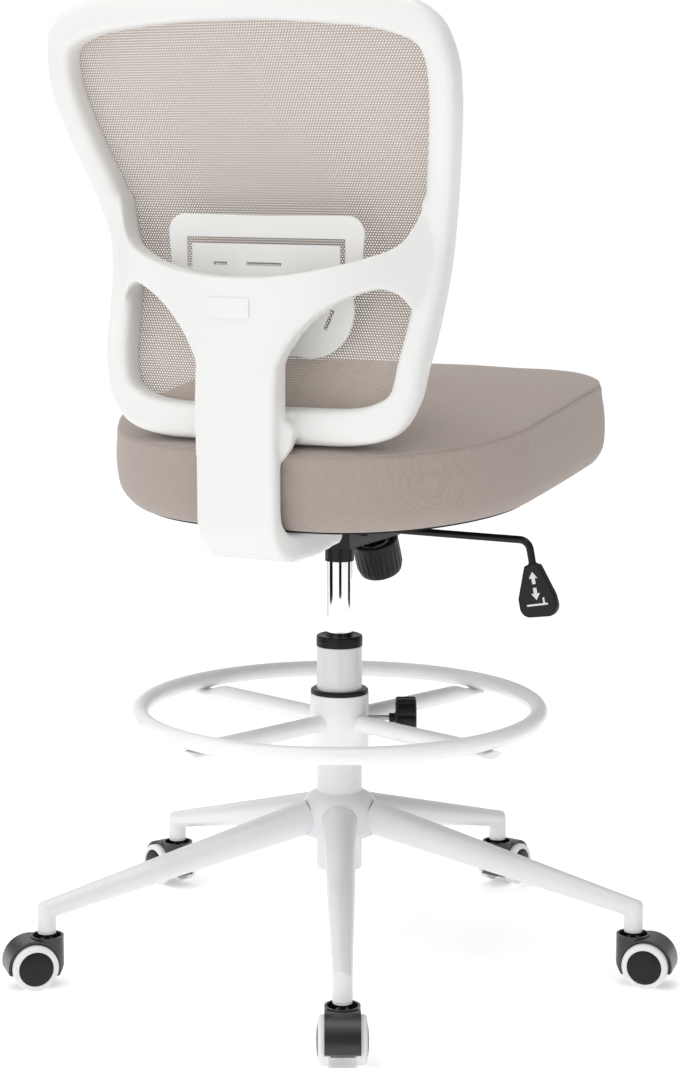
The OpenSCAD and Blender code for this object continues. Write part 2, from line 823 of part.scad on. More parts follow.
module back_mesh() {
    n = mesh_cols + 1;
    m = (mesh_rows + 1) * n;
    points = [for (t = [0, mesh_t]) for (r = [0:mesh_rows]) for (c = [0:mesh_cols]) mesh_point(r, c, t)];
    front = [for (r = [0:mesh_rows - 1]) for (c = [0:mesh_cols - 1])
        [r * n + c, (r + 1) * n + c, (r + 1) * n + c + 1, r * n + c + 1]];
    back = [for (f = front) [f[3] + m, f[2] + m, f[1] + m, f[0] + m]];
    low = [for (c = [0:mesh_cols - 1]) [c, c + 1, c + 1 + m, c + m]];
    high = [for (c = [0:mesh_cols - 1]) let (k = mesh_rows * n + c) [k + m, k + 1 + m, k + 1, k]];
    left = [for (r = [0:mesh_rows - 1]) let (k = r * n) [k + m, k + n + m, k + n, k]];
    right = [for (r = [0:mesh_rows - 1]) let (k = r * n + mesh_cols) [k, k + n, k + n + m, k + m]];
    color(fabric) polyhedron(points, concat(front, back, low, high, left, right), convexity = 6);
}

lumbar_y = 160;
lumbar_t = 3;

// One half of the plate's outline, from the middle of its top to the middle of its lower edge.
lumbar_half = concat(
    [[0, 835]], arc(98, 817, 18, 90, 0, 6), [[112, 775]],
    arc(50, 741, 50, 15, -90, 8), [[0, 691]]
);

module lumbar_plate() {
    color(white_plastic) front_plate(lumbar_y, lumbar_y + lumbar_t) difference() {
        polygon(both_sides(lumbar_half));
        translate([-90, 806]) square([180, 6]);
        for (s = [-1, 1]) translate([s * 90 - 3, 782]) square([6, 30]);
        for (s = [-1, 1]) translate([s * 74, 731]) rotate(-25 * s) square([5, 22], center = true);
    }
}

// ---------------------------------------------------------------- the chair

on_floor() base_hub();
on_floor() base_legs();
on_floor() base_sockets();
on_floor() column_tube();
on_floor() column_bushing();
on_floor() piston_rod();
on_floor() rod_bearing();
on_floor() gas_cylinder();
on_floor() valve_button();
on_floor() footrest_collar();
on_floor() footrest_spokes();
on_floor() footrest_ring();
on_floor() footrest_bushing();
on_floor() clamp_screw();
on_floor() clamp_knob();
on_floor() tilt_housing();
on_floor() tilt_axle();
on_floor() tension_spring();
on_floor() lever_bush();
on_floor() lever_rod();
on_floor() lever_paddle();
on_floor() seat_plate();
on_floor() tension_bolt();
on_floor() tension_knob();
on_floor() seat_board();
on_floor() seat_cushion();
on_floor() seat_bolts();
on_floor() back_frame();
on_floor() back_mesh();
on_floor() lumbar_plate();
on_floor() caster_hood(1);  // caster_hood_1
on_floor() caster_hood(2);  // caster_hood_2
on_floor() caster_hood(3);  // caster_hood_3
on_floor() caster_hood(4);  // caster_hood_4
on_floor() caster_hood(5);  // caster_hood_5
on_floor() caster_pins(1);  // caster_pins_1
on_floor() caster_pins(2);  // caster_pins_2
on_floor() caster_pins(3);  // caster_pins_3
on_floor() caster_pins(4);  // caster_pins_4
on_floor() caster_pins(5);  // caster_pins_5
on_floor() wheel_core(1, 1);  // wheel_core_l_1
on_floor() wheel_core(2, 1);  // wheel_core_l_2
on_floor() wheel_core(3, 1);  // wheel_core_l_3
on_floor() wheel_core(4, 1);  // wheel_core_l_4
on_floor() wheel_core(5, 1);  // wheel_core_l_5
on_floor() wheel_core(1, -1);  // wheel_core_r_1
on_floor() wheel_core(2, -1);  // wheel_core_r_2
on_floor() wheel_core(3, -1);  // wheel_core_r_3
on_floor() wheel_core(4, -1);  // wheel_core_r_4
on_floor() wheel_core(5, -1);  // wheel_core_r_5
on_floor() wheel_tread(1, 1);  // wheel_tread_l_1
on_floor() wheel_tread(2, 1);  // wheel_tread_l_2
on_floor() wheel_tread(3, 1);  // wheel_tread_l_3
on_floor() wheel_tread(4, 1);  // wheel_tread_l_4
on_floor() wheel_tread(5, 1);  // wheel_tread_l_5
on_floor() wheel_tread(1, -1);  // wheel_tread_r_1
on_floor() wheel_tread(2, -1);  // wheel_tread_r_2
on_floor() wheel_tread(3, -1);  // wheel_tread_r_3
on_floor() wheel_tread(4, -1);  // wheel_tread_r_4
on_floor() wheel_tread(5, -1);  // wheel_tread_r_5
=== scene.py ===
import math
import bpy
import bmesh
from mathutils import Matrix, Vector, noise


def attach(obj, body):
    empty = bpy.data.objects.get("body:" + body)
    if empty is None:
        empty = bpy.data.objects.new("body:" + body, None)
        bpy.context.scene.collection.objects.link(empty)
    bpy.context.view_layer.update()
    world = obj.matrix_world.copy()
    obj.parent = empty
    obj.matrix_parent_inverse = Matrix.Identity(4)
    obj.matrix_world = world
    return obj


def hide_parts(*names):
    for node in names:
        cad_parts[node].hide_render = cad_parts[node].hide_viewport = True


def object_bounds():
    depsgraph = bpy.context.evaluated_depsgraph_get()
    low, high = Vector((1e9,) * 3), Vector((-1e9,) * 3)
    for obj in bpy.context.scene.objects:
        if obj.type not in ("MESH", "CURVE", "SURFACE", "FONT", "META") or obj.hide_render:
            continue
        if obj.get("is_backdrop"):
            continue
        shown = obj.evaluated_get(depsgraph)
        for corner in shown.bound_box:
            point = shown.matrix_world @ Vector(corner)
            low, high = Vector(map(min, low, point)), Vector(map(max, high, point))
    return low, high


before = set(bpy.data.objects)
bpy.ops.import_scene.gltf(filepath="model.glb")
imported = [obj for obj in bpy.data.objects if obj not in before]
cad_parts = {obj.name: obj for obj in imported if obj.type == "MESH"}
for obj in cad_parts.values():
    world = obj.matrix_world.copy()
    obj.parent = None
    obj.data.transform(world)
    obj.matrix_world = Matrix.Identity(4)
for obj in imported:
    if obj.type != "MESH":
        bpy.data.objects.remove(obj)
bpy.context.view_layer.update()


# ---------------------------------------------------------------------------
# Base legs
# Five tapered steel tubes in white powder coat. Each is bent down at its tip,
# where a caster's stem presses in, and its root is welded inside the hub.

mm = 0.001
# heights in every section are measured from a datum this far under the floor
floor_above_datum = 7 * mm
leg_turn = math.radians(118.5)
leg_count = 5
stem_reach = 333.6 * mm
leg_root = Vector((36, 0, 168.6)) * mm
leg_tip = Vector((333.6, 0, 90)) * mm
leg_root_r = 18.75 * mm
leg_tip_r = 9.95 * mm
leg_foot_r = 10.25 * mm
leg_foot_z = 66 * mm
leg_bore_r = 8.75 * mm
leg_axis = (leg_tip - leg_root).normalized()


def node_group(name, inputs, outputs):
    """A shader node group with its sockets; gives the group, its new and link, and its two ends."""
    group = bpy.data.node_groups.new(name, "ShaderNodeTree")
    for in_out, sockets in (("INPUT", inputs), ("OUTPUT", outputs)):
        for socket, kind in sockets.items():
            group.interface.new_socket(name=socket, in_out=in_out, socket_type="NodeSocket" + kind)
    new = group.nodes.new
    return group, new, group.links.new, new("NodeGroupInput").outputs, new("NodeGroupOutput").inputs


def feed(tree, value, socket):
    """Gives a socket its value, which is a number or another node's output."""
    if isinstance(value, (int, float)):
        socket.default_value = value
    else:
        tree.links.new(value, socket)


def maths(tree, operation, *values):
    node = tree.nodes.new("ShaderNodeMath")
    node.operation = operation
    for value, socket in zip(values, node.inputs):
        feed(tree, value, socket)
    return node.outputs[0]


def speckle(tree, place, scale, detail):
    """A noise at a place: its outputs."""
    node = tree.nodes.new("ShaderNodeTexNoise")
    node.inputs["Detail"].default_value = detail
    feed(tree, scale, node.inputs["Scale"])
    tree.links.new(place, node.inputs["Vector"])
    return node.outputs


def surface_relief():
    """A fine relief with a slow drift of shade and gloss over it, as on coated or moulded parts."""
    group, new, link, given, result = node_group(
        "surface_relief", {"Colour": "Color", "Grain per metre": "Float", "Grain depth": "Float",
                           "Roughness": "Float", "Shade drift": "Float"},
        {"Colour": "Color", "Roughness": "Float", "Normal": "Vector"})
    place = new("ShaderNodeTexCoord").outputs["Object"]
    bump = new("ShaderNodeBump")
    bump.inputs["Distance"].default_value = 0.5 * mm
    link(speckle(group, place, given["Grain per metre"], 3)["Fac"], bump.inputs["Height"])
    link(given["Grain depth"], bump.inputs["Strength"])
    link(bump.outputs["Normal"], result["Normal"])
    centred = maths(group, "SUBTRACT", speckle(group, place, 9, 4)["Fac"], 0.5)
    amount = maths(group, "MULTIPLY", centred, given["Shade drift"])
    tone = new("ShaderNodeVectorMath")
    tone.operation = "SCALE"
    link(given["Colour"], tone.inputs[0])
    link(maths(group, "ADD", amount, 1), tone.inputs["Scale"])
    link(tone.outputs[0], result["Colour"])
    link(maths(group, "ADD", amount, given["Roughness"]), result["Roughness"])
    return group


relief = surface_relief()


def finish(name, colour, roughness, grain=2500, depth=0.12, drift=0.06, **shader):
    """A solid finish with its own relief; shader holds the Principled BSDF's constant values."""
    material = bpy.data.materials.new(name)
    material.use_nodes = True
    nodes, link = material.node_tree.nodes, material.node_tree.links.new
    bsdf = nodes["Principled BSDF"]
    for socket, value in shader.items():
        bsdf.inputs[socket.replace("_", " ")].default_value = value
    skin = nodes.new("ShaderNodeGroup")
    skin.node_tree = relief
    skin.inputs["Colour"].default_value = (*colour, 1)
    skin.inputs["Grain per metre"].default_value = grain
    skin.inputs["Grain depth"].default_value = depth
    skin.inputs["Roughness"].default_value = roughness
    skin.inputs["Shade drift"].default_value = drift
    link(skin.outputs["Colour"], bsdf.inputs["Base Color"])
    link(skin.outputs["Roughness"], bsdf.inputs["Roughness"])
    link(skin.outputs["Normal"], bsdf.inputs["Normal"])
    return material


def at_leg(k):
    return Matrix.Rotation(leg_turn + math.tau * k / leg_count, 4, "Z")


def hoop(centre, across, up, width, height=None):
    """Places a circle of radius 1: its X along across, its Y along up, scaled to the two half-sizes."""
    across, up = Vector(across).normalized(), Vector(up).normalized()
    height = width if height is None else height
    columns = (across * width, up * height, across.cross(up) * width, Vector(centre))
    return Matrix([[c[row] for c in columns] for row in range(3)] + [[0, 0, 0, 1]])


def ring_edges(bm, ring):
    members = set(ring)
    return [e for e in bm.edges if e.verts[0] in members and e.verts[1] in members]


def drawn_tube(bm, hoops, sides=40):
    """Draws a circle through the hoops, one after the other; gives the vertices of each ring."""
    ring = bmesh.ops.create_circle(bm, segments=sides, radius=1, matrix=hoops[0])["verts"]
    rings = [ring]
    for before, here in zip(hoops, hoops[1:]):
        drawn = bmesh.ops.extrude_edge_only(bm, edges=ring_edges(bm, ring))["geom"]
        ring = [g for g in drawn if isinstance(g, bmesh.types.BMVert)]
        bmesh.ops.transform(bm, matrix=here @ before.inverted(), verts=ring)
        rings.append(ring)
    return rings


def gathered(shapes):
    """Puts several shapes into one, each still its own shell."""
    whole = bmesh.new()
    for shape in shapes:
        part = bpy.data.meshes.new("part")
        shape.to_mesh(part)
        shape.free()
        whole.from_mesh(part)
        bpy.data.meshes.remove(part)
    return whole


def make_piece(name, bm, material, body, stands_for=(), crease=38):
    """Turns a bmesh, or a mesh that is ready, into a piece that rides on a body."""
    if isinstance(bm, bpy.types.Mesh):
        mesh = bm
        mesh.name = name
    else:
        mesh = bpy.data.meshes.new(name)
        bm.to_mesh(mesh)
        bm.free()
    mesh.transform(Matrix.Translation((0, 0, -floor_above_datum)))
    mesh.materials.clear()
    mesh.materials.append(material)
    mesh.shade_smooth()
    mesh.set_sharp_from_angle(angle=math.radians(crease))
    piece = bpy.data.objects.new(name, mesh)
    bpy.context.scene.collection.objects.link(piece)
    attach(piece, body)
    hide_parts(*stands_for)
    return piece


white_coat = finish("white_powder_coat", (0.78, 0.78, 0.80), 0.30, grain=900, depth=0.10,
                    Coat_Weight=0.25, Coat_Roughness=0.18)

legs = []
for k in range(leg_count):
    one = bmesh.new()
    side, down = Vector((0, 1, 0)), Vector((0, 0, -1))
    across_leg = side.cross(leg_axis)
    mitre = (down - leg_axis).normalized()
    half_turn = leg_axis.angle(down) / 2
    stretch = leg_tip_r / math.cos(half_turn)
    hoops = [hoop(leg_root, side, across_leg, leg_root_r),
             hoop(leg_tip - leg_axis * 30 * mm, side, across_leg, leg_tip_r * 1.09),
             hoop(leg_tip, side, mitre, leg_foot_r, stretch),
             hoop((stem_reach, 0, leg_foot_z + 1 * mm), side, (-1, 0, 0), leg_foot_r),
             hoop((stem_reach, 0, leg_foot_z), side, (-1, 0, 0), leg_foot_r - 1 * mm),
             hoop((stem_reach, 0, leg_foot_z), side, (-1, 0, 0), leg_bore_r),
             hoop((stem_reach, 0, leg_foot_z + 14 * mm), side, (-1, 0, 0), leg_bore_r)]
    rings = drawn_tube(one, hoops)
    bmesh.ops.bevel(one, geom=ring_edges(one, rings[2]), offset=3 * mm, offset_type="OFFSET",
                    segments=5, profile=0.5, affect="EDGES", material=-1)
    bmesh.ops.recalc_face_normals(one, faces=one.faces)
    bmesh.ops.transform(one, matrix=at_leg(k), verts=one.verts)
    legs.append(one)
make_piece("base_leg_tubes", gathered(legs), white_coat, "base", ["base_legs"])


# ---------------------------------------------------------------------------
# Hub
# A cast cup in the same white coat. Its domed shoulder covers the legs' roots,
# which enter through five round cut-outs, and the column is pressed in its middle.

hub_shoulder = 21


def bow(x, y, r, start, end, steps=8):
    """Points on an arc, from one angle to another, in degrees."""
    turns = (math.radians(start + (end - start) * i / steps) for i in range(steps + 1))
    return [(x + r * math.cos(t), y + r * math.sin(t)) for t in turns]


def turned(outline, steps=96, place=Matrix.Identity(4), open_ends=False):
    """Turns an outline of (radius, height) in millimetres about the Z axis of place."""
    bm = bmesh.new()
    points = [bm.verts.new((r * mm, 0, z * mm)) for r, z in outline]
    pairs = list(zip(points, points[1:]))
    if not open_ends:
        pairs.append((points[-1], points[0]))
    edges = [bm.edges.new(pair) for pair in pairs]
    bmesh.ops.spin(bm, geom=points + edges, axis=(0, 0, 1), cent=(0, 0, 0), angle=math.tau,
                   steps=steps, use_merge=True, use_duplicate=False)
    bmesh.ops.remove_doubles(bm, verts=bm.verts, dist=1e-6)
    bmesh.ops.dissolve_degenerate(bm, edges=bm.edges, dist=1e-7)
    bmesh.ops.recalc_face_normals(bm, faces=bm.faces)
    bmesh.ops.transform(bm, matrix=place, verts=bm.verts)
    return bm


def carved(first, joined=(), kept=(), cut=()):
    """Joins closed shapes to the first, keeps what lies inside others, cuts others out; gives a mesh."""
    shapes = []
    steps = ["UNION"] * len(joined) + ["INTERSECT"] * len(kept) + ["DIFFERENCE"] * len(cut)
    for bm in (first, *joined, *kept, *cut):
        mesh = bpy.data.meshes.new("shape")
        bm.to_mesh(mesh)
        bm.free()
        shapes.append(bpy.data.objects.new("shape", mesh))
        bpy.context.scene.collection.objects.link(shapes[-1])
    for operation, shape in zip(steps, shapes[1:]):
        step = shapes[0].modifiers.new("step", "BOOLEAN")
        step.operation = operation
        step.solver = "EXACT"
        step.object = shape
    bpy.context.view_layer.update()
    result = bpy.data.meshes.new_from_object(
        shapes[0].evaluated_get(bpy.context.evaluated_depsgraph_get()))
    for shape in shapes:
        mesh = shape.data
        bpy.data.objects.remove(shape)
        bpy.data.meshes.remove(mesh)
    return result


def rounded_edges(piece, width, segments=3, angle=40):
    """A small radius along every edge that is sharper than the angle."""
    edge = piece.modifiers.new("edge_radius", "BEVEL")
    edge.width = width * mm
    edge.segments = segments
    edge.limit_method = "ANGLE"
    edge.angle_limit = math.radians(angle)
    edge.harden_normals = False
    return piece


def cone_along(start, end, start_r, end_r, sides=48):
    """A closed cone or cylinder between two points."""
    bm = bmesh.new()
    along = Vector(end) - Vector(start)
    place = along.to_track_quat("Z", "Y").to_matrix().to_4x4()
    place.translation = (Vector(start) + Vector(end)) / 2
    bmesh.ops.create_cone(bm, cap_ends=True, segments=sides, radius1=start_r, radius2=end_r,
                          depth=along.length, matrix=place)
    return bm


hub_outline = ([(24.9, 150), (37, 148)] + bow(39, 150.5, 2.5, -90, -20, 4)
               + [(42, 160)]
               + bow(42 - hub_shoulder, 196 - hub_shoulder, hub_shoulder, 0, 78, 12)
               + [(24.9, 196)])
arch_inside = 1 * mm
arch_outside = 60 * mm
arch_gap = 0.2 * mm
arches = []
for k in range(leg_count):
    inner = leg_root - leg_axis * arch_inside
    outer = leg_root + leg_axis * arch_outside
    taper = (leg_tip_r - leg_root_r) / (leg_tip - leg_root).length
    arch = cone_along(inner, outer, leg_root_r - taper * arch_inside + arch_gap,
                      leg_root_r + taper * arch_outside + arch_gap)
    bmesh.ops.transform(arch, matrix=at_leg(k), verts=arch.verts)
    arches.append(arch)
hub = make_piece("base_hub_cup", carved(turned(hub_outline), cut=arches), white_coat,
                 "base", ["base_hub"])
rounded_edges(hub, 0.6)


# ---------------------------------------------------------------------------
# Casters
# Twin wheels of black nylon with pale soft treads under a black moulded hood.
# The hood's open cup turns on a steel stem that presses into the leg's socket.

wheel_r = 25.0
wheel_inner = 13.25
wheel_outer = 24.2
tread_inner_r = 18.8
wheel_rise = 2.6
trail = 17.0
axle_z = 32.0
hood_half = 18.1
hood_r = 29.0
hood_arch_r = 26.5
web_half = 12.25
cup_r = 18.1
cup_wall = 2.6
cup_top = 62.0
cup_floor = 49.0
black_nylon = finish("black_nylon", (0.010, 0.010, 0.012), 0.36, grain=3500, depth=0.16, drift=0.10,
                     Specular_IOR_Level=0.28)
hood_nylon = finish("gloss_black_nylon", (0.014, 0.014, 0.016), 0.30, grain=3500, depth=0.14, drift=0.10,
                    Specular_IOR_Level=0.65)
pale_tread = finish("pale_tread", (0.80, 0.80, 0.815), 0.50, grain=2600, depth=0.10, drift=0.05)
caster_steel = finish("stem_steel", (0.05, 0.05, 0.055), 0.35, grain=1500, depth=0.08, Metallic=0.6)
socket_nylon = finish("socket_nylon", (0.72, 0.72, 0.73), 0.45, grain=3000, depth=0.1)


def slab(low, high):
    """A closed block between two corners, in millimetres."""
    bm = bmesh.new()
    size = Vector(high) - Vector(low)
    place = Matrix.Translation((Vector(high) + Vector(low)) * mm / 2) @ Matrix.Diagonal((*(size * mm), 1))
    bmesh.ops.create_cube(bm, size=1, matrix=place)
    return bm


def prism(outline, low, high, place=Matrix.Identity(4)):
    """An outline in X and Z, in millimetres, drawn out along Y from low to high."""
    bm = bmesh.new()
    face = bm.faces.new([bm.verts.new((x * mm, low * mm, z * mm)) for x, z in outline])
    drawn = bmesh.ops.extrude_face_region(bm, geom=[face])["geom"]
    bmesh.ops.translate(bm, vec=(0, (high - low) * mm, 0),
                        verts=[g for g in drawn if isinstance(g, bmesh.types.BMVert)])
    bmesh.ops.recalc_face_normals(bm, faces=bm.faces)
    bmesh.ops.transform(bm, matrix=place, verts=bm.verts)
    return bm


def placed(mesh_or_bm, matrix):
    bm = mesh_or_bm
    if isinstance(bm, bpy.types.Mesh):
        bm = bmesh.new()
        bm.from_mesh(mesh_or_bm)
    bmesh.ops.transform(bm, matrix=matrix, verts=bm.verts)
    return bm


fender_side = ([(0, 21), (38, 21), (42, 24)] + bow(trail, axle_z, hood_r, -10, 118, 22) + [(0, 54)])
cup_side = [(-20, cup_top), (-20, 33.5), (-10, 20), (20, 20), (20, cup_top)]


def wheel_room(r, web):
    """The space that the two wheels turn in, on each side of the hood's middle web."""
    return [cone_along((trail * mm, side * web * mm, axle_z * mm), (trail * mm, side * 40 * mm, axle_z * mm),
                       r * mm, r * mm, 72) for side in (-1, 1)]


cup = carved(turned([(0, 20), (cup_r, 20), (cup_r, cup_top), (0, cup_top)], steps=72),
             kept=[prism(cup_side, -20, 20)])
cup_bore_r = cup_r - cup_wall
cup_hollow = carved(turned([(0, cup_floor), (cup_bore_r, cup_floor), (cup_bore_r, 80), (0, 80)], steps=72),
                    cut=wheel_room(hood_arch_r + 1.5, web_half - 1.5))
hood_mesh = carved(prism(fender_side, -hood_half, hood_half), joined=[placed(cup, Matrix.Identity(4))],
                   cut=[placed(cup_hollow, Matrix.Identity(4)), *wheel_room(hood_arch_r, web_half)])
rib_reach = cup_bore_r + 0.5
cup_ribs = carved(turned([(0, 48), (7.4, 48), (6.8, 58), (0, 58)], steps=40),
                  joined=[slab((-rib_reach, -0.8, 48), (10, 0.8, 57)),
                          slab((-0.8, -10.5, 48), (0.8, 10.5, 57))])
stem_outline = [(0, 40), (3.2, 40), (3.2, 64), (5.4, 64), (5.4, 90), (0, 90)]
collar_outline = [(5.6, 64.6), (9.9, 64.6), (9.9, 66.2), (8.7, 66.2), (8.7, 84), (5.6, 84)]
disc_outline = ([(0, wheel_inner), (tread_inner_r, wheel_inner), (tread_inner_r, wheel_outer - 0.6)]
                + [(tread_inner_r * math.cos(t), wheel_outer - 0.6 + wheel_rise * math.sin(t))
                   for t in (math.radians(9 * i) for i in range(1, 11))])
tread_outline = ([(tread_inner_r, wheel_inner)] + bow(wheel_r - 1.2, wheel_inner + 1.2, 1.2, -90, 0, 4)
                 + bow(wheel_r - 3.2, wheel_outer - 3.2, 3.2, 0, 78, 6)
                 + [(tread_inner_r + 0.5, wheel_outer + 0.3), (tread_inner_r, wheel_outer - 0.2)])

for k in range(leg_count):
    number = k + 1
    here = at_leg(k) @ Matrix.Translation((stem_reach, 0, 0))
    swivel = f"caster_{number}"
    hood = make_piece(f"caster_hood_shell_{number}", placed(hood_mesh, here), hood_nylon,
                      swivel, [f"caster_hood_{number}"])
    rounded_edges(hood, 0.7, 2, 35)
    ribs = make_piece(f"caster_cup_ribs_{number}", placed(cup_ribs, here), black_nylon,
                      swivel)
    rounded_edges(ribs, 0.3, 2)
    axle = cone_along((trail * mm, -23 * mm, axle_z * mm), (trail * mm, 23 * mm, axle_z * mm),
                      3 * mm, 3 * mm, 32)
    stem = gathered([turned(stem_outline, steps=40), axle])
    make_piece(f"caster_stem_{number}", placed(stem, here), caster_steel, swivel,
               [f"caster_pins_{number}"])
    for side, sign in (("l", 1), ("r", -1)):
        on_axle = here @ Matrix.Translation((trail * mm, 0, axle_z * mm)) @ Matrix.Rotation(
            math.radians(-90 * sign), 4, "X")
        wheel = f"wheel_{side}_{number}"
        make_piece(f"wheel_disc_{side}_{number}", turned(disc_outline, 72, on_axle), black_nylon,
                   wheel, [f"wheel_core_{side}_{number}"])
        make_piece(f"wheel_ring_{side}_{number}", turned(tread_outline, 96, on_axle), pale_tread,
                   wheel, [f"wheel_tread_{side}_{number}"])
sockets = [turned(collar_outline, 48, at_leg(k) @ Matrix.Translation((stem_reach, 0, 0)))
           for k in range(leg_count)]
make_piece("leg_sockets", gathered(sockets), socket_nylon, "base", ["base_sockets"])


# ---------------------------------------------------------------------------
# Column
# A white steel tube stands in the hub. A black bushing in its top guides the
# chromed gas cylinder, whose tapered neck presses into the seat's mechanism.

tube_top = 360.0
bright_chrome = finish("bright_chrome", (0.86, 0.86, 0.88), 0.06, grain=400, depth=0.02, drift=0.03,
                       Metallic=1.0)
zinc_plate = finish("zinc_plate", (0.52, 0.52, 0.54), 0.34, grain=1800, depth=0.10, drift=0.12,
                    Metallic=1.0)
tube_outline = ([(23, 109), (23, tube_top - 0.4)] + [(23.5, tube_top)] + bow(24, tube_top - 1, 1, 90, 0, 4)
                + [(25, 109.5), (24.6, 108.6), (22, 108.2), (5.2, 108), (5.2, 112), (23, 112)])
make_piece("column_outer_tube", turned(tube_outline), white_coat, "base", ["column_tube"])
bushing_outline = ([(14.05, 300), (14.05, 368.5)] + [(15.2, 371)] + bow(20, 371, 1, 150, 90, 3)
                   + bow(23, 369.5, 2.6, 88, 20, 5) + bow(24.9, 366, 0.8, 30, -60, 4)
                   + [(25.5, 364.6), (25.5, tube_top + 0.1), (22.9, tube_top), (22.9, 300)])
make_piece("column_guide", turned(bushing_outline), black_nylon, "base",
           ["column_bushing"])
cylinder_outline = [(11, 205), (5.1, 205), (5.1, 195.4), (13.4, 195), (14, 195.8), (14, 455),
                    (12.8, 496.5), (12.3, 497), (4.1, 497), (4.1, 478), (8, 477.5), (11, 450)]
make_piece("gas_spring_cylinder", turned(cylinder_outline), bright_chrome, "lift",
           ["gas_cylinder"])
rod_outline = ([(0, 102)] + bow(4, 103, 1, -90, 0, 3) + [(5, 328), (10.9, 328.3), (10.9, 336), (0, 336)])
make_piece("gas_spring_rod", turned(rod_outline, 48), zinc_plate, "base", ["piston_rod"])


def paint(material, *names):
    for name in names:
        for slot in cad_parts[name].material_slots:
            slot.material = material


paint(zinc_plate, "rod_bearing", "valve_button")


# ---------------------------------------------------------------------------
# Foot ring
# A rolled steel ring on four round spokes, welded to a sleeve that slides on
# the column. The spokes' ends are pressed flat and welded under the ring.

ring_r = 220.8
ring_tube_r = 9.5
ring_z = 288.0
spoke_z = 276.0
spoke_turn = math.radians(73)
# The same white powder coat as the base, painted paler here: painted light standing in for the brighter light
# on the ring, its spokes and its sleeve.
ring_paler_painted_coat = finish("ring_white_coat_painted_paler", (0.90, 0.90, 0.905), 0.30, grain=900, depth=0.10,
                   Coat_Weight=0.25, Coat_Roughness=0.18)
sleeve_outline = (bow(31.5, 248, 1, -90, 0, 3) + bow(31.5, 306, 1, 0, 90, 3)
                  + [(26.6, 307), (26.6, 247)])
make_piece("foot_ring_sleeve", turned(sleeve_outline), ring_paler_painted_coat, "footrest",
           ["footrest_collar"])
make_piece("foot_ring_hoop", turned(bow(ring_r, ring_z, ring_tube_r, 0, 337.5, 15), 224), ring_paler_painted_coat,
           "footrest", ["footrest_ring"])
liner_outline = [(25.05, 248), (25.05, 311.4), (25.6, 312), (30.4, 312), (31.9, 310.6), (32, 307.4),
                 (31.4, 307.05), (26.5, 307), (26.5, 248)]
make_piece("foot_ring_liner", turned(liner_outline), black_nylon, "footrest",
           ["footrest_bushing"])
spokes = []
for k in range(4):
    one = bmesh.new()
    turn = Matrix.Rotation(spoke_turn + math.tau * k / 4, 4, "Z")
    reach = [(31.5, ring_tube_r, ring_tube_r, spoke_z), (186, ring_tube_r, ring_tube_r, spoke_z),
             (197, 10.2, 8.2, spoke_z - 0.6), (207, 11.6, 5.6, spoke_z - 1.6),
             (214, 12.4, 4.1, spoke_z - 1.9),
             (227.4, 12.6, 4.0, spoke_z - 1.9), (228, 12.0, 3.4, spoke_z - 1.9)]
    rings = drawn_tube(one, [hoop(Vector((r, 0, z)) * mm, (0, 1, 0), (0, 0, 1), wide * mm, tall * mm)
                             for r, wide, tall, z in reach])
    for ring in (rings[0], rings[-1]):
        bmesh.ops.contextual_create(one, geom=ring_edges(one, ring))
    bmesh.ops.recalc_face_normals(one, faces=one.faces)
    spokes.append(placed(one, turn))
make_piece("foot_ring_spokes", gathered(spokes), ring_paler_painted_coat, "footrest",
           ["footrest_spokes"])


# ---------------------------------------------------------------------------
# Clamp knob
# A black moulded knob on a steel screw. Turning it presses the screw against
# the column and holds the foot ring at its height.

clamp_turn = math.radians(208)
clamp_z = 278.0
clamp_place = (Matrix.Rotation(clamp_turn, 4, "Z") @ Matrix.Translation((0, 0, clamp_z * mm))
               @ Matrix.Rotation(math.radians(90), 4, "Y"))
knob_outline = ([(0, 55), (5.2, 55), (5.2, 60.5), (6.5, 62), (19, 62)] + bow(21, 64.5, 2.4, -80, 0, 5)
                + bow(20.6, 82, 2.8, 0, 80, 6) + [(14, 85.4), (12, 83.6), (0, 83.2)])


def fluted(bm, place, count, depth, low, high, inner_r):
    """Presses count rounded flutes into a turned shape's rim, between two heights of place."""
    back = place.inverted()
    for v in bm.verts:
        at = back @ v.co
        r = math.hypot(at.x, at.y)
        if low * mm <= at.z <= high * mm and r > inner_r * mm:
            wave = math.cos(count * math.atan2(at.y, at.x))
            r_new = r - depth * mm * max(0, wave) ** 1.5
            v.co = place @ Vector((at.x * r_new / r, at.y * r_new / r, at.z))
    return bm


knob = fluted(turned(knob_outline, 160, clamp_place), clamp_place, 10, 2.2, 61, 85, 16)
make_piece("clamp_hand_knob", knob, black_nylon, "clamp", ["clamp_knob"])
make_piece("clamp_thread", turned([(0, 25.4), (2.4, 25.4), (3, 26.2), (3, 60), (0, 60)], 32, clamp_place),
           zinc_plate, "clamp", ["clamp_screw"])


# ---------------------------------------------------------------------------
# Tilt mechanism
# A pressed steel housing in black coat holds the column's neck, the pivot and
# the lever. A spring and a fluted knob on a long bolt set how firmly it tilts.

black_coat = finish("black_powder_coat", (0.009, 0.009, 0.010), 0.32, grain=1100, depth=0.12, drift=0.10,
                    Specular_IOR_Level=0.3)
paint(black_coat, "tilt_housing", "seat_plate")
paint(zinc_plate, "tilt_axle", "tension_spring", "tension_bolt", "seat_bolts")
paint(black_nylon, "lever_bush")
bolt_lean = math.radians(24)
bolt_place = Matrix.Translation(Vector((0, -93, 447)) * mm) @ Matrix.Rotation(-bolt_lean, 4, "X")
cup_outline = (bow(21, -17.0, 3, -90, -10, 5) + [(26.2, -10), (26.5, 20.5)] + bow(24.5, 21.5, 2, 10, 100, 5)
               + [(22.6, 22.4), (22.4, -13.5), (10, -13.8), (9.8, -6), (5.1, -6), (5.1, -15.8),
                  (0, -16), (0, -20)])
tension = fluted(turned(cup_outline, 192, bolt_place), bolt_place, 24, 1.7, -16, 18.5, 24)
make_piece("tension_hand_knob", tension, black_nylon, "tension_knob", ["tension_knob"])


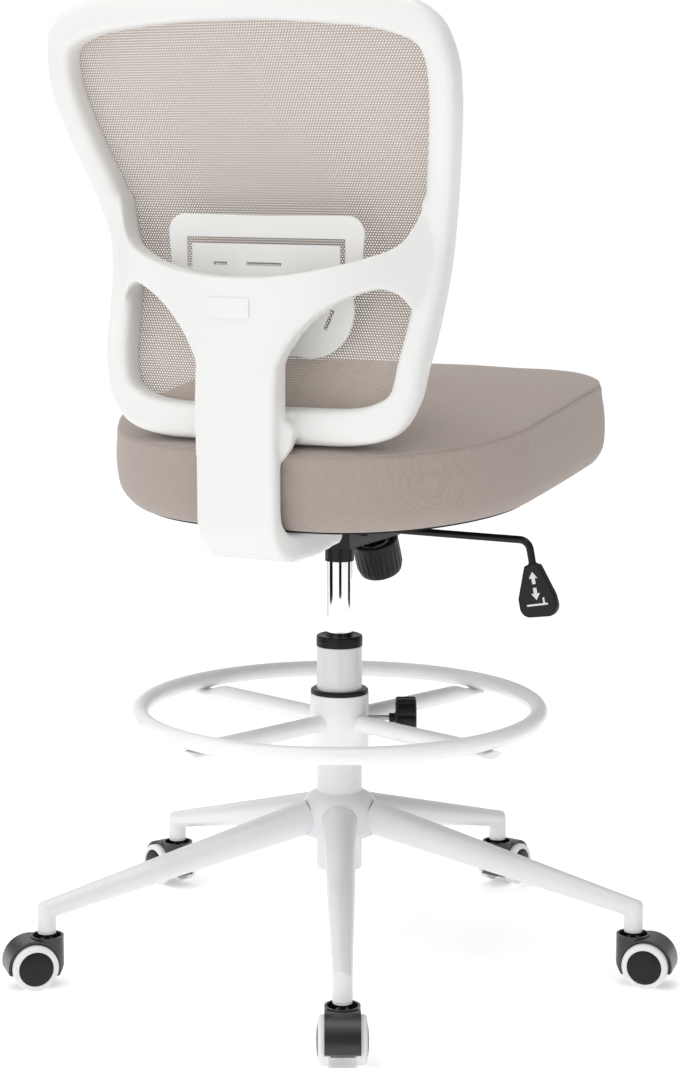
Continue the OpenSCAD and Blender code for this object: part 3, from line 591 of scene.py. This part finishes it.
# ---------------------------------------------------------------------------
# Height lever
# A bent steel rod with a flat moulded paddle. Lifted, it presses the valve on
# top of the gas cylinder; its rod passes through a bush in the housing's wall.

lever_y = 20.0
lever_z = 497.0
lever_reach = 225.0
lever_bend = 12.0
lever_lean = math.radians(11)
rod_r = 4.0
lever_path = [(-18, lever_z), (-60, lever_z), (-lever_reach, lever_z)]
elbow = (-lever_reach, lever_z - lever_bend)
lever_path += [(elbow[0] + lever_bend * math.cos(t), elbow[1] + lever_bend * math.sin(t))
               for t in (math.radians(90 + (90 - math.degrees(lever_lean)) * i / 8) for i in range(1, 9))]
drop = Vector((-math.sin(lever_lean), -math.cos(lever_lean)))
lever_path.append((lever_path[-1][0] + drop.x * 30, lever_path[-1][1] + drop.y * 30))
hoops = []
for i, (x, z) in enumerate(lever_path):
    before, after = lever_path[max(i - 1, 0)], lever_path[min(i + 1, len(lever_path) - 1)]
    along = Vector((after[0] - before[0], 0, after[1] - before[1])).normalized()
    hoops.append(hoop(Vector((x, lever_y, z)) * mm, (0, 1, 0), Vector((0, 1, 0)).cross(along), rod_r * mm))
lever = bmesh.new()
rings = drawn_tube(lever, hoops, 24)
for ring in (rings[0], rings[-1]):
    bmesh.ops.contextual_create(lever, geom=ring_edges(lever, ring))
bmesh.ops.recalc_face_normals(lever, faces=lever.faces)
tongue = [slab((-28, 16, 497), (-18, 24, 506)), slab((-28, -8, 504.6), (18, 24, 507.6))]
make_piece("lever_bent_rod", gathered([lever, *tongue]), black_coat, "lever",
           ["lever_rod"])

paddle_length = 72
paddle_place = (Matrix.Translation(Vector((-lever_reach, lever_y, lever_z - lever_bend)) * mm)
                @ Matrix.Rotation(lever_lean, 4, "Y")
                @ Matrix.Translation(Vector((-lever_bend, 0, -paddle_length)) * mm))
paddle_outline = ([(-8.5, 56), (-20.5, 22)] + bow(-9.5, 12, 12, 180, 262, 6)
                  + bow(10.5, 12, 11, 278, 360, 6) + [(21.5, 22), (8.5, 56)] + bow(0, 50, 8.5, 45, 135, 4))
paddle = make_piece("lever_hand_paddle", prism(paddle_outline, -4.6, 4.6, paddle_place), black_nylon,
                    "lever", ["lever_paddle"])
rounded_edges(paddle, 1.8, 4, 35)
white_print = finish("white_print", (0.75, 0.75, 0.75), 0.5, grain=2000, depth=0.05)
signs = []
for outline in ([(-2, 36), (2, 36), (2, 42), (5, 42), (0, 49), (-5, 42), (-2, 42)],
                [(-2, 32), (2, 32), (2, 26), (5, 26), (0, 19), (-5, 26), (-2, 26)],
                [(-12, 13), (12, 13), (12, 15), (-12, 15)],
                [(-9, 15), (-7, 15), (-7, 21), (-9, 21)]):
    for low, high in ((4.5, 4.75), (-4.75, -4.5)):
        signs.append(prism(outline, low, high, paddle_place))
make_piece("lever_signs", gathered(signs), white_print, "lever")


# ---------------------------------------------------------------------------
# Seat
# A block of moulded foam on a plywood board, covered in taupe knit. The side
# panel and the top panel meet in a sewn seam round the top edge, and a black
# cloth closes the underside.

seat_slope = math.radians(6.2)
seat_place = Matrix.Translation((0, 0, 534 * mm)) @ Matrix.Rotation(-seat_slope, 4, "X")
seat_half = 233.0
seat_front_y = -233.0
seat_rear_y = 198.5
front_corner = 60.0
rear_corner = 182.0
seam_height = 83.0
crown = 15.0
front_lift = 0.075


def knit_pattern():
    """A fine looped knit in two shades of yarn, and its height for the bump."""
    group, new, link, given, result = node_group(
        "knit_pattern", {"Loops per metre": "Float", "Light yarn": "Color", "Dark yarn": "Color"},
        {"Colour": "Color", "Height": "Float"})
    place = new("ShaderNodeTexCoord").outputs["Object"]
    swayed = new("ShaderNodeVectorMath")
    swayed.operation = "MULTIPLY_ADD"
    swayed.inputs[1].default_value = [4 * mm] * 3
    link(speckle(group, place, 55, 2)["Color"], swayed.inputs[0])
    link(place, swayed.inputs[2])
    scaled = new("ShaderNodeVectorMath")
    scaled.operation = "SCALE"
    link(swayed.outputs[0], scaled.inputs[0])
    link(given["Loops per metre"], scaled.inputs["Scale"])
    waves = []
    for operation in ("SINE", "COSINE"):
        wave = new("ShaderNodeVectorMath")
        wave.operation = operation
        link(scaled.outputs[0], wave.inputs[0])
        split = new("ShaderNodeSeparateXYZ")
        link(wave.outputs[0], split.inputs[0])
        waves.append(split.outputs)
    total = 0
    for first, second in ((0, 1), (1, 2), (2, 0)):
        total = maths(group, "MULTIPLY_ADD", waves[0][first], waves[1][second], total)
    level = new("ShaderNodeMapRange")
    level.inputs["From Min"].default_value = -1.3
    level.inputs["From Max"].default_value = 1.3
    link(total, level.inputs["Value"])
    fuzz = maths(group, "MULTIPLY", speckle(group, place, 140, 5)["Fac"], 0.45)
    height = maths(group, "MULTIPLY_ADD", level.outputs[0], 0.55, fuzz)
    yarn = new("ShaderNodeMix")
    yarn.data_type = "RGBA"
    link(height, yarn.inputs["Factor"])
    link(given["Dark yarn"], yarn.inputs["A"])
    link(given["Light yarn"], yarn.inputs["B"])
    link(yarn.outputs["Result"], result["Colour"])
    link(height, result["Height"])
    return group


knit = knit_pattern()


def cloth(name, light, dark, loops, bump_depth, roughness=0.92, sheen=0.25):
    """A knitted cloth in two shades of yarn."""
    material = bpy.data.materials.new(name)
    material.use_nodes = True
    nodes, link = material.node_tree.nodes, material.node_tree.links.new
    bsdf = nodes["Principled BSDF"]
    bsdf.inputs["Roughness"].default_value = roughness
    bsdf.inputs["Sheen Weight"].default_value = sheen
    bsdf.inputs["Sheen Roughness"].default_value = 0.5
    bsdf.inputs["Specular IOR Level"].default_value = 0.2
    yarn = nodes.new("ShaderNodeGroup")
    yarn.node_tree = knit
    yarn.inputs["Loops per metre"].default_value = loops
    yarn.inputs["Light yarn"].default_value = (*light, 1)
    yarn.inputs["Dark yarn"].default_value = (*dark, 1)
    bump = nodes.new("ShaderNodeBump")
    bump.inputs["Strength"].default_value = bump_depth
    bump.inputs["Distance"].default_value = 0.0006
    link(yarn.outputs["Colour"], bsdf.inputs["Base Color"])
    link(yarn.outputs["Height"], bump.inputs["Height"])
    link(bump.outputs["Normal"], bsdf.inputs["Normal"])
    return material


seat_cloth = cloth("taupe_seat_knit", (0.455, 0.388, 0.348), (0.326, 0.273, 0.242), 5200, 0.45)
under_cloth = finish("black_under_cloth", (0.012, 0.012, 0.013), 0.9, grain=2200, depth=0.3)


def seat_outline(bulge=6.0):
    """The seat's plan at its seam: straight-ish sides that bow out a little, and large rear corners."""
    points = []
    for cx, cy, r, start in ((seat_half - rear_corner, seat_rear_y - rear_corner, rear_corner, 0),
                             (rear_corner - seat_half, seat_rear_y - rear_corner, rear_corner, 90),
                             (front_corner - seat_half, seat_front_y + front_corner, front_corner, 180),
                             (seat_half - front_corner, seat_front_y + front_corner, front_corner, 270)):
        points += bow(cx, cy, r, start, start + 90, 22 if r > 100 else 14)
    spread = []
    for (x0, y0), (x1, y1) in zip(points, points[1:] + points[:1]):
        steps = max(1, round(math.hypot(x1 - x0, y1 - y0) / 14))
        spread += [(x0 + (x1 - x0) * i / steps, y0 + (y1 - y0) * i / steps) for i in range(steps)]
    return [(x + math.copysign(bulge, x) * max(0, 1 - (y / 200) ** 2) * min(1, abs(x) / seat_half) ** 6,
             y - bulge * 0.6 * max(0, 1 - (x / 170) ** 2) * (y < -200)) for x, y in spread]


plan = [Vector((x, y)) for x, y in seat_outline()]
outward = []
for i, here in enumerate(plan):
    along = (plan[(i + 1) % len(plan)] - plan[i - 1]).normalized()
    outward.append(Vector((along.y, -along.x)))
middle = Vector((0, -20))
# Each ring of the cover: how far it stands out from the seam, its height, and
# how far it has closed in on the middle.
side_rings = ([(-20, 1.5, 1), (-13.5, 1.6, 1), (-8.5, 2.6, 1), (-4.2, 7.2, 1)]
              + [(-1.2 + 6.4 * math.sin(math.radians(20 * i)) ** 0.55, 8 + 8 * i, 1) for i in range(1, 9)]
              + [(2.6, 76.5, 1), (2.0, 79.6, 1), (1.2, 81.4, 1), (-0.4, 82.4, 1), (-0.5, 83.4, 1),
                 (0.8, 84.6, 1)])
top_rings = [(0.8, seam_height + 1.6 + crown * (1 - s ** 5) ** 0.7, s)
             for s in (0.992, 0.98, 0.96, 0.93, 0.89, 0.84, 0.78, 0.7, 0.6, 0.48, 0.36, 0.24, 0.12, 0.04)]


def ring_point(i, ring):
    out, height, closed = ring
    point = middle + (plan[i] + outward[i] * out - middle) * closed
    return Vector((point.x, point.y, height))


cover = bmesh.new()
ring = [cover.verts.new(ring_point(i, side_rings[0])) for i in range(len(plan))]
edges = [cover.edges.new((ring[i - 1], ring[i])) for i in range(len(ring))]
bmesh.ops.contextual_create(cover, geom=edges)
for shape in side_rings[1:] + top_rings:
    drawn = bmesh.ops.extrude_edge_only(cover, edges=ring_edges(cover, ring))["geom"]
    next_ring = [None] * len(plan)
    fresh = {g for g in drawn if isinstance(g, bmesh.types.BMVert)}
    for i, v in enumerate(ring):
        partner = next(e.other_vert(v) for e in v.link_edges if e.other_vert(v) in fresh)
        partner.co = ring_point(i, shape)
        next_ring[i] = partner
    ring = next_ring
bmesh.ops.contextual_create(cover, geom=ring_edges(cover, ring))
for v in cover.verts:
    soft = noise.noise(v.co * 0.011 + Vector((3, 1, 7))) * 1.5 + noise.noise(v.co * 0.035) * 0.5
    height = v.co.z
    if height > 4:
        flat = Vector((v.co.x, v.co.y, 0))
        v.co += flat.normalized() * soft * 0.7 * min(1, height / 20)
    # the wall is a little taller towards the front
    v.co.z += height * front_lift * max(0, min(1, (100 - v.co.y) / 200))
    if height > seam_height + 2:
        v.co.z += soft * 0.9
        # the rear of the top is held down under the back's lower rail
        v.co.z -= (v.co.z - seam_height) * max(0, min(1, (v.co.y - 90) / 75)) * 0.62
for v in cover.verts:
    v.co *= mm
bmesh.ops.recalc_face_normals(cover, faces=cover.faces)
cushion = make_piece("seat_pad", placed(cover, seat_place), seat_cloth, "seat",
                     ["seat_cushion"], crease=180)
smooth = cushion.modifiers.new("smooth_foam", "SUBSURF")
smooth.levels = smooth.render_levels = 1

board = bmesh.new()
edge_points = [plan[i] + outward[i] * -16 for i in range(len(plan))]
face = board.faces.new([board.verts.new((p.x * mm, p.y * mm, -1.2 * mm)) for p in edge_points])
drawn = bmesh.ops.extrude_face_region(board, geom=[face])["geom"]
bmesh.ops.translate(board, vec=(0, 0, 3.8 * mm),
                    verts=[g for g in drawn if isinstance(g, bmesh.types.BMVert)])
bmesh.ops.recalc_face_normals(board, faces=board.faces)
under = make_piece("seat_under_cloth", placed(board, seat_place), under_cloth, "seat",
                   ["seat_board"])
rounded_edges(under, 1.2, 3)


# ---------------------------------------------------------------------------
# Back frame
# One white moulding: a rounded loop that the mesh is stretched on, a curved
# cross-bar, and an upright that turns forward under the seat as a foot.

loop_half = [(0, 178, 623), (60, 177.5, 623.3), (112, 176, 625), (146, 172.5, 634), (165, 169, 655),
             (172, 165, 688), (176.5, 151, 727), (181, 138, 775), (185.5, 136, 815), (196, 150, 865),
             (208, 171, 912), (216.5, 188, 955), (217, 200, 992), (204, 210, 1019), (165, 220, 1035),
             (100, 230, 1042.5), (50, 235, 1045.5), (0, 236.5, 1046.5)]
loop_sides = 28
white_plastic = finish("white_moulded_plastic", (0.815, 0.815, 0.80), 0.38, grain=2200, depth=0.14,
                       drift=0.05, Coat_Weight=0.08, Coat_Roughness=0.3)


def smooth_curve(points, steps, closed=True):
    """A Catmull-Rom curve through the points, closed or open."""
    points = [Vector(p) for p in points]
    count = len(points)
    curve = []
    for i in range(count if closed else count - 1):
        if closed:
            a, b, c, d = (points[(i + j) % count] for j in (-1, 0, 1, 2))
        else:
            a, b, c, d = (points[min(max(i + j, 0), count - 1)] for j in (-1, 0, 1, 2))
        for s in range(steps):
            t = s / steps
            curve.append(0.5 * (2 * b + (c - a) * t + (2 * a - 5 * b + 4 * c - d) * t ** 2
                                + (3 * b - a - 3 * c + d) * t ** 3))
    return curve


def rail_size(z):
    """Half the rail's width in the frame's plane, and half its depth."""
    low_bar = max(0, min(1, (652 - z) / 18))
    top_bar = max(0, min(1, (z - 1002) / 28))
    return 14.2 + 4.8 * low_bar + 4.6 * top_bar, 16.0


def squared(c, power):
    return math.copysign(abs(c) ** power, c)


loop_path = smooth_curve(loop_half + [(-x, y, z) for x, y, z in loop_half[-2:0:-1]], 5)
loop = bmesh.new()
count = len(loop_path)
section = []
for i, here in enumerate(loop_path):
    along = (loop_path[(i + 1) % count] - loop_path[i - 1]).normalized()
    across = along.cross(Vector((0, 1, 0))).normalized()
    depth = across.cross(along)
    half_w, half_d = rail_size(here.z)
    section.append([loop.verts.new((here + across * half_w * squared(math.cos(a), 0.5)
                                    + depth * half_d * squared(math.sin(a), 0.5)) * mm)
                    for a in (math.tau * (j + 0.5) / loop_sides for j in range(loop_sides))])
for i in range(count):
    for j in range(loop_sides):
        n = (j + 1) % loop_sides
        m = (i + 1) % count
        loop.faces.new((section[i][j], section[i][n], section[m][n], section[m][j]))
bmesh.ops.recalc_face_normals(loop, faces=loop.faces)

crest = [(x, 775 + 0.00122 * x * x) for x in range(0, 140, 12)]
flare = (crest + [(146, 801.5), (156, 807), (164, 815.5), (170, 827), (175, 842), (177.5, 856), (190, 856),
                  (184, 790), (176, 750), (170, 744), (167, 747), (164, 752), (157, 759.5), (146, 764)]
         + bow(165, 640, 127, 101, 158, 12) + [(47, 640), (46, 600)])
bar_outline = flare + [(-x, z) for x, z in flare[::-1] if x > 0]
bar_outline = list(dict.fromkeys(bar_outline))
bend_r = 250.0
bar_mid_y = 218.0
bar_shell = turned([(bend_r - 11.5, 560), (bend_r + 11.5, 560), (bend_r + 11.5, 860), (bend_r - 11.5, 860)],
                   200, Matrix.Translation((0, (bar_mid_y - bend_r) * mm, 0)))
bar_mesh = carved(bar_shell, kept=[prism(bar_outline, 120, 262)])

foot_front = 78.0
upright_side = ([(219, 752), (224.5, 700), (228.5, 668), (230, 640), (229, 600), (227.5, 545)]
                + bow(179.5, 530, 48, 8, -88, 16) + [(135, 482), (106, 485.5), (88, 488.5)]
                + bow(86, 498, 10, -100, -170, 5)
                + [(foot_front - 1, 524.5 - 3.5), (150, 514.5)]
                + bow(186, 538, 24.5, -100, 0, 10) + [(210.5, 620), (209, 636), (203, 652), (206, 752)])
side_turn = Matrix(((0, 1, 0, 0), (1, 0, 0, 0), (0, 0, 1, 0), (0, 0, 0, 1)))
upright = prism(upright_side, -46.5, 46.5)
bmesh.ops.transform(upright, matrix=side_turn, verts=upright.verts)
bmesh.ops.reverse_faces(upright, faces=upright.faces)
link_block = slab((-46, 170, 606), (46, 208, 640))
gusset_outline = [(40, 632), (54, 630), (59, 622), (56, 606), (51, 597), (46, 590), (40, 588)]
gussets = [prism([(side * x, z) for x, z in gusset_outline], 198, 212) for side in (1, -1)]
boss = slab((-30, 163, 736), (30, 210, 774))

parts = gathered([loop, upright, link_block, boss, *gussets])
parts.from_mesh(bar_mesh)
frame_mesh = bpy.data.meshes.new("frame_blank")
parts.to_mesh(frame_mesh)
parts.free()
moulding_step = 2.6 * mm
blank = bpy.data.objects.new("frame_blank", frame_mesh)
bpy.context.scene.collection.objects.link(blank)
skin = blank.modifiers.new("one_skin", "REMESH")
skin.mode = "VOXEL"
skin.voxel_size = moulding_step
soften = blank.modifiers.new("rounded", "SMOOTH")
soften.factor = 0.5
soften.iterations = 11
bpy.context.view_layer.update()
moulding = bpy.data.meshes.new_from_object(blank.evaluated_get(bpy.context.evaluated_depsgraph_get()))
bpy.data.objects.remove(blank)
make_piece("back_moulding", moulding, white_plastic, "seat", ["back_frame"], crease=180)


# ---------------------------------------------------------------------------
# Name plate
# A small blank plate set in the rear of the cross-bar.

plate_outline = (bow(28, 753, 2, 0, 90, 3) + bow(-17, 753, 2, 90, 180, 3)
                 + bow(-17, 736, 2, 180, 270, 3) + bow(28, 736, 2, 270, 360, 3))
plate_shell = turned([(bend_r + 8, 730), (bend_r + 12.9, 730), (bend_r + 12.9, 760), (bend_r + 8, 760)],
                     240, Matrix.Translation((0, (bar_mid_y - bend_r) * mm, 0)))
plate = make_piece("blank_plate", carved(plate_shell, kept=[prism(plate_outline, 210, 240)]), white_plastic,
                   "seat")
rounded_edges(plate, 0.4, 2)


# ---------------------------------------------------------------------------
# Back mesh
# One sheet of open taupe knit, stretched over the front of the loop and held
# in a groove round it. It is flat across the waist and bows back at the top.

mesh_low = 614.0
mesh_high = 1046.0
side_line = smooth_curve(loop_half, 6, closed=False) + [Vector(loop_half[-1])]


def open_knit():
    """Rows of small round holes, every other row shifted by half a step: 1 on the thread, 0 in a hole."""
    group, new, link, given, result = node_group(
        "open_knit", {"Step across": "Float", "Step up": "Float", "Hole": "Float"}, {"Thread": "Float"})
    split = new("ShaderNodeSeparateXYZ")
    link(new("ShaderNodeTexCoord").outputs["Object"], split.inputs[0])
    across = maths(group, "DIVIDE", split.outputs["X"], given["Step across"])
    up = maths(group, "DIVIDE", split.outputs["Z"], given["Step up"])
    odd_row = maths(group, "FLOORED_MODULO", maths(group, "FLOOR", up), 2)
    shifted = maths(group, "MULTIPLY_ADD", odd_row, 0.5, across)
    x = maths(group, "SUBTRACT", maths(group, "FRACT", shifted), 0.5)
    y = maths(group, "SUBTRACT", maths(group, "FRACT", up), 0.5)
    flattened = maths(group, "MULTIPLY", maths(group, "MULTIPLY", y, y), 0.8)
    reach = maths(group, "SQRT", maths(group, "MULTIPLY_ADD", x, x, flattened))
    link(maths(group, "GREATER_THAN", reach, given["Hole"]), result["Thread"])
    return group


holes = open_knit()
mesh_cloth = cloth("taupe_open_mesh", (0.57, 0.495, 0.44), (0.43, 0.37, 0.325), 5200, 0.35, sheen=0.15)
nodes, link = mesh_cloth.node_tree.nodes, mesh_cloth.node_tree.links.new
pattern = nodes.new("ShaderNodeGroup")
pattern.node_tree = holes
pattern.inputs["Step across"].default_value = 3.1 * mm
pattern.inputs["Step up"].default_value = 2.6 * mm
pattern.inputs["Hole"].default_value = 0.235
link(pattern.outputs["Thread"], nodes["Principled BSDF"].inputs["Alpha"])


def loop_at(z):
    """The loop's middle line at a height, on its side: x and y."""
    for low, high in zip(side_line, side_line[1:]):
        if low.z <= z <= high.z and high.z > low.z:
            t = (z - low.z) / (high.z - low.z)
            return low.lerp(high, t)
    return side_line[0] if z < 700 else side_line[-1]


def sheet_point(u, v):
    """u from -1 to 1 across, v from 0 to 1 up, on the stretched sheet."""
    z = mesh_low + (mesh_high - mesh_low) * v
    low_x = loop_at(min(max(z, 640), 1012)).x
    if z < 655:
        low_x = 166 - 40 * ((655 - z) / 41) ** 2
    if z > 1000:
        low_x = 214 - 62 * ((z - 1000) / 46) ** 2
    base_y = loop_at(min(max(z, 640), 1030)).y if z < 1030 else 217
    arch = 0 if z < 850 else 30 * ((z - 850) / 196) ** 1.35
    return Vector((u * low_x, base_y - 11.5 + arch * (1 - u * u), z))


sheet_columns, sheet_rows = 46, 56
sheet = bmesh.new()
bmesh.ops.create_grid(sheet, x_segments=sheet_columns, y_segments=sheet_rows, size=1)
for v in sheet.verts:
    v.co = sheet_point(v.co.x, (v.co.y + 1) / 2) * mm
bmesh.ops.recalc_face_normals(sheet, faces=sheet.faces)
flat_area = sum(face.calc_area() for face in sheet.faces)
mesh_sheet = make_piece("back_mesh_sheet", sheet, mesh_cloth, "seat", ["back_mesh"],
                        crease=180)


# ---------------------------------------------------------------------------
# Lumbar plate
# A thin white plate behind the mesh at the small of the back, screwed to a
# boss on the cross-bar. A U-shaped slot frees its middle.

lumbar_y = 159.5
lumbar_half = ([(0, 835)] + bow(96, 817, 19, 90, 5, 6) + [(111, 775)]
               + bow(52, 742, 51, 12, -92, 14) + [(30, 693)])
lumbar_outline = lumbar_half + [(-x, z) for x, z in lumbar_half[:0:-1]]
slot_line = [slab((-93, 150, 806), (93, 170, 812.5))]
slot_line += [slab((s * 90 - 3, 150, 781), (s * 90 + 3, 170, 812)) for s in (-1, 1)]
slot_line += [slab((low, 150, 784), (high, 170, 787.4)) for low, high in ((45, 61), (-19, 22))]
for s in (-1, 1):
    tilted = slab((-2.5, 150, -11), (2.5, 170, 11))
    bmesh.ops.transform(tilted, verts=tilted.verts, matrix=Matrix.Translation((s * 74 * mm, 0, 731 * mm))
                        @ Matrix.Rotation(math.radians(25 * s), 4, "Y"))
    slot_line.append(tilted)
lumbar_mesh = carved(prism(lumbar_outline, lumbar_y, lumbar_y + 3.2), cut=slot_line)
lumbar = make_piece("lumbar_support", lumbar_mesh, white_plastic, "seat", ["lumbar_plate"])
rounded_edges(lumbar, 0.9, 3, 35)


# ---------------------------------------------------------------------------
# Studio
# A plain pale floor, soft light from large panels, and the camera.

floor_finish = finish("pale_floor", (0.90, 0.90, 0.90), 0.85, grain=200, depth=0.02, drift=0.0,
                      Emission_Color=(1, 1, 1, 1), Emission_Strength=0.41, Specular_IOR_Level=0.1)


def stage_piece(name, size, place, material):
    """A flat square of the studio, which is no part of the chair."""
    bm = bmesh.new()
    bmesh.ops.create_grid(bm, x_segments=1, y_segments=1, size=size, matrix=place)
    mesh = bpy.data.meshes.new(name)
    bm.to_mesh(mesh)
    bm.free()
    mesh.materials.append(material)
    square = bpy.data.objects.new(name, mesh)
    bpy.context.scene.collection.objects.link(square)
    square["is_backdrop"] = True
    return square


stage_piece("floor", 30, Matrix.Identity(4), floor_finish)

world = bpy.data.worlds.new("studio")
bpy.context.scene.world = world
world.use_nodes = True
sky, link = world.node_tree.nodes, world.node_tree.links.new
# A white room whose darker side gives the soft shade on one flank. The camera itself sees only an
# even white backdrop.
room = sky["Background"]
room.inputs["Strength"].default_value = 0.86
backdrop = sky.new("ShaderNodeBackground")
backdrop.inputs["Color"].default_value = (1, 1, 1, 1)
way = sky.new("ShaderNodeSeparateXYZ")
link(sky.new("ShaderNodeTexCoord").outputs["Generated"], way.inputs[0])
bearing = maths(world.node_tree, "ARCTAN2", way.outputs["Y"], way.outputs["X"])
around = maths(world.node_tree, "FRACT", maths(world.node_tree, "DIVIDE", bearing, math.tau))
shades = sky.new("ShaderNodeValToRGB")
link(around, shades.inputs["Fac"])
for position, shade in ((0.384, 1.0), (0.440, 0.7), (0.500, 0.35), (0.600, 0.30), (0.720, 0.45), (0.86, 1.0)):
    shades.color_ramp.elements.new(position).color = (shade, shade, shade, 1)
shades.color_ramp.elements[0].color = shades.color_ramp.elements[-1].color = (1, 1, 1, 1)
link(shades.outputs["Color"], room.inputs["Color"])
seen = sky.new("ShaderNodeMixShader")
link(sky.new("ShaderNodeLightPath").outputs["Is Camera Ray"], seen.inputs[0])
link(room.outputs[0], seen.inputs[1])
link(backdrop.outputs[0], seen.inputs[2])
link(seen.outputs[0], sky["World Output"].inputs["Surface"])


def panel(name, place, target, width, height, power):
    """A soft light panel facing its target."""
    data = bpy.data.lights.new(name, "AREA")
    data.shape = "RECTANGLE"
    data.size, data.size_y = width, height
    data.energy = power
    lamp = bpy.data.objects.new(name, data)
    bpy.context.scene.collection.objects.link(lamp)
    lamp.location = place
    lamp.rotation_euler = (Vector(target) - Vector(place)).to_track_quat("-Z", "Y").to_euler()
    return lamp


panel("key_panel", (2.3, 2.5, 2.2), (0, 0, 0.6), 1.8, 1.8, 14)
panel("fill_panel", (-2.8, 1.6, 1.8), (0, 0, 0.6), 1.6, 2.0, 3)
panel("top_panel", (0, 0.2, 3.2), (0, 0, 0.5), 2.4, 2.4, 28)

# Dark upright cards on the floor, seen only in reflections: they give the metal its lower bands.
card_black = finish("card_black", (0.01, 0.01, 0.01), 0.9, depth=0.0, drift=0.0, Specular_IOR_Level=0.0)
card_distance = 1.6
card_height = 1.5
for card_turn, width in ((36, 1.05), (125, 0.66), (216, 0.85), (346, 0.30)):
    stand = (Matrix.Rotation(math.radians(card_turn), 4, "Z")
             @ Matrix.Translation((card_distance, 0, card_height / 2))
             @ Matrix.Rotation(math.radians(90), 4, "Y") @ Matrix.Diagonal((card_height, width, 1, 1)))
    card = stage_piece("band_card", 0.5, stand, card_black)
    card.visible_camera = card.visible_diffuse = card.visible_shadow = False

view_turn = math.radians(28)
camera_distance = 2.7746
camera_height = 0.9038
camera_down = math.radians(8.744)
focal_length = 86.24
data = bpy.data.cameras.new("camera")
data.sensor_fit = "VERTICAL"
data.sensor_height = 36
data.lens = focal_length
camera = bpy.data.objects.new("camera", data)
bpy.context.scene.collection.objects.link(camera)
camera.location = (-camera_distance * math.sin(view_turn), camera_distance * math.cos(view_turn),
                   camera_height)
camera.rotation_euler = (math.radians(90) - camera_down, 0, math.radians(180) + view_turn)
bpy.context.scene.camera = camera
bpy.context.scene.view_settings.view_transform = "Standard"

low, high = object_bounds()
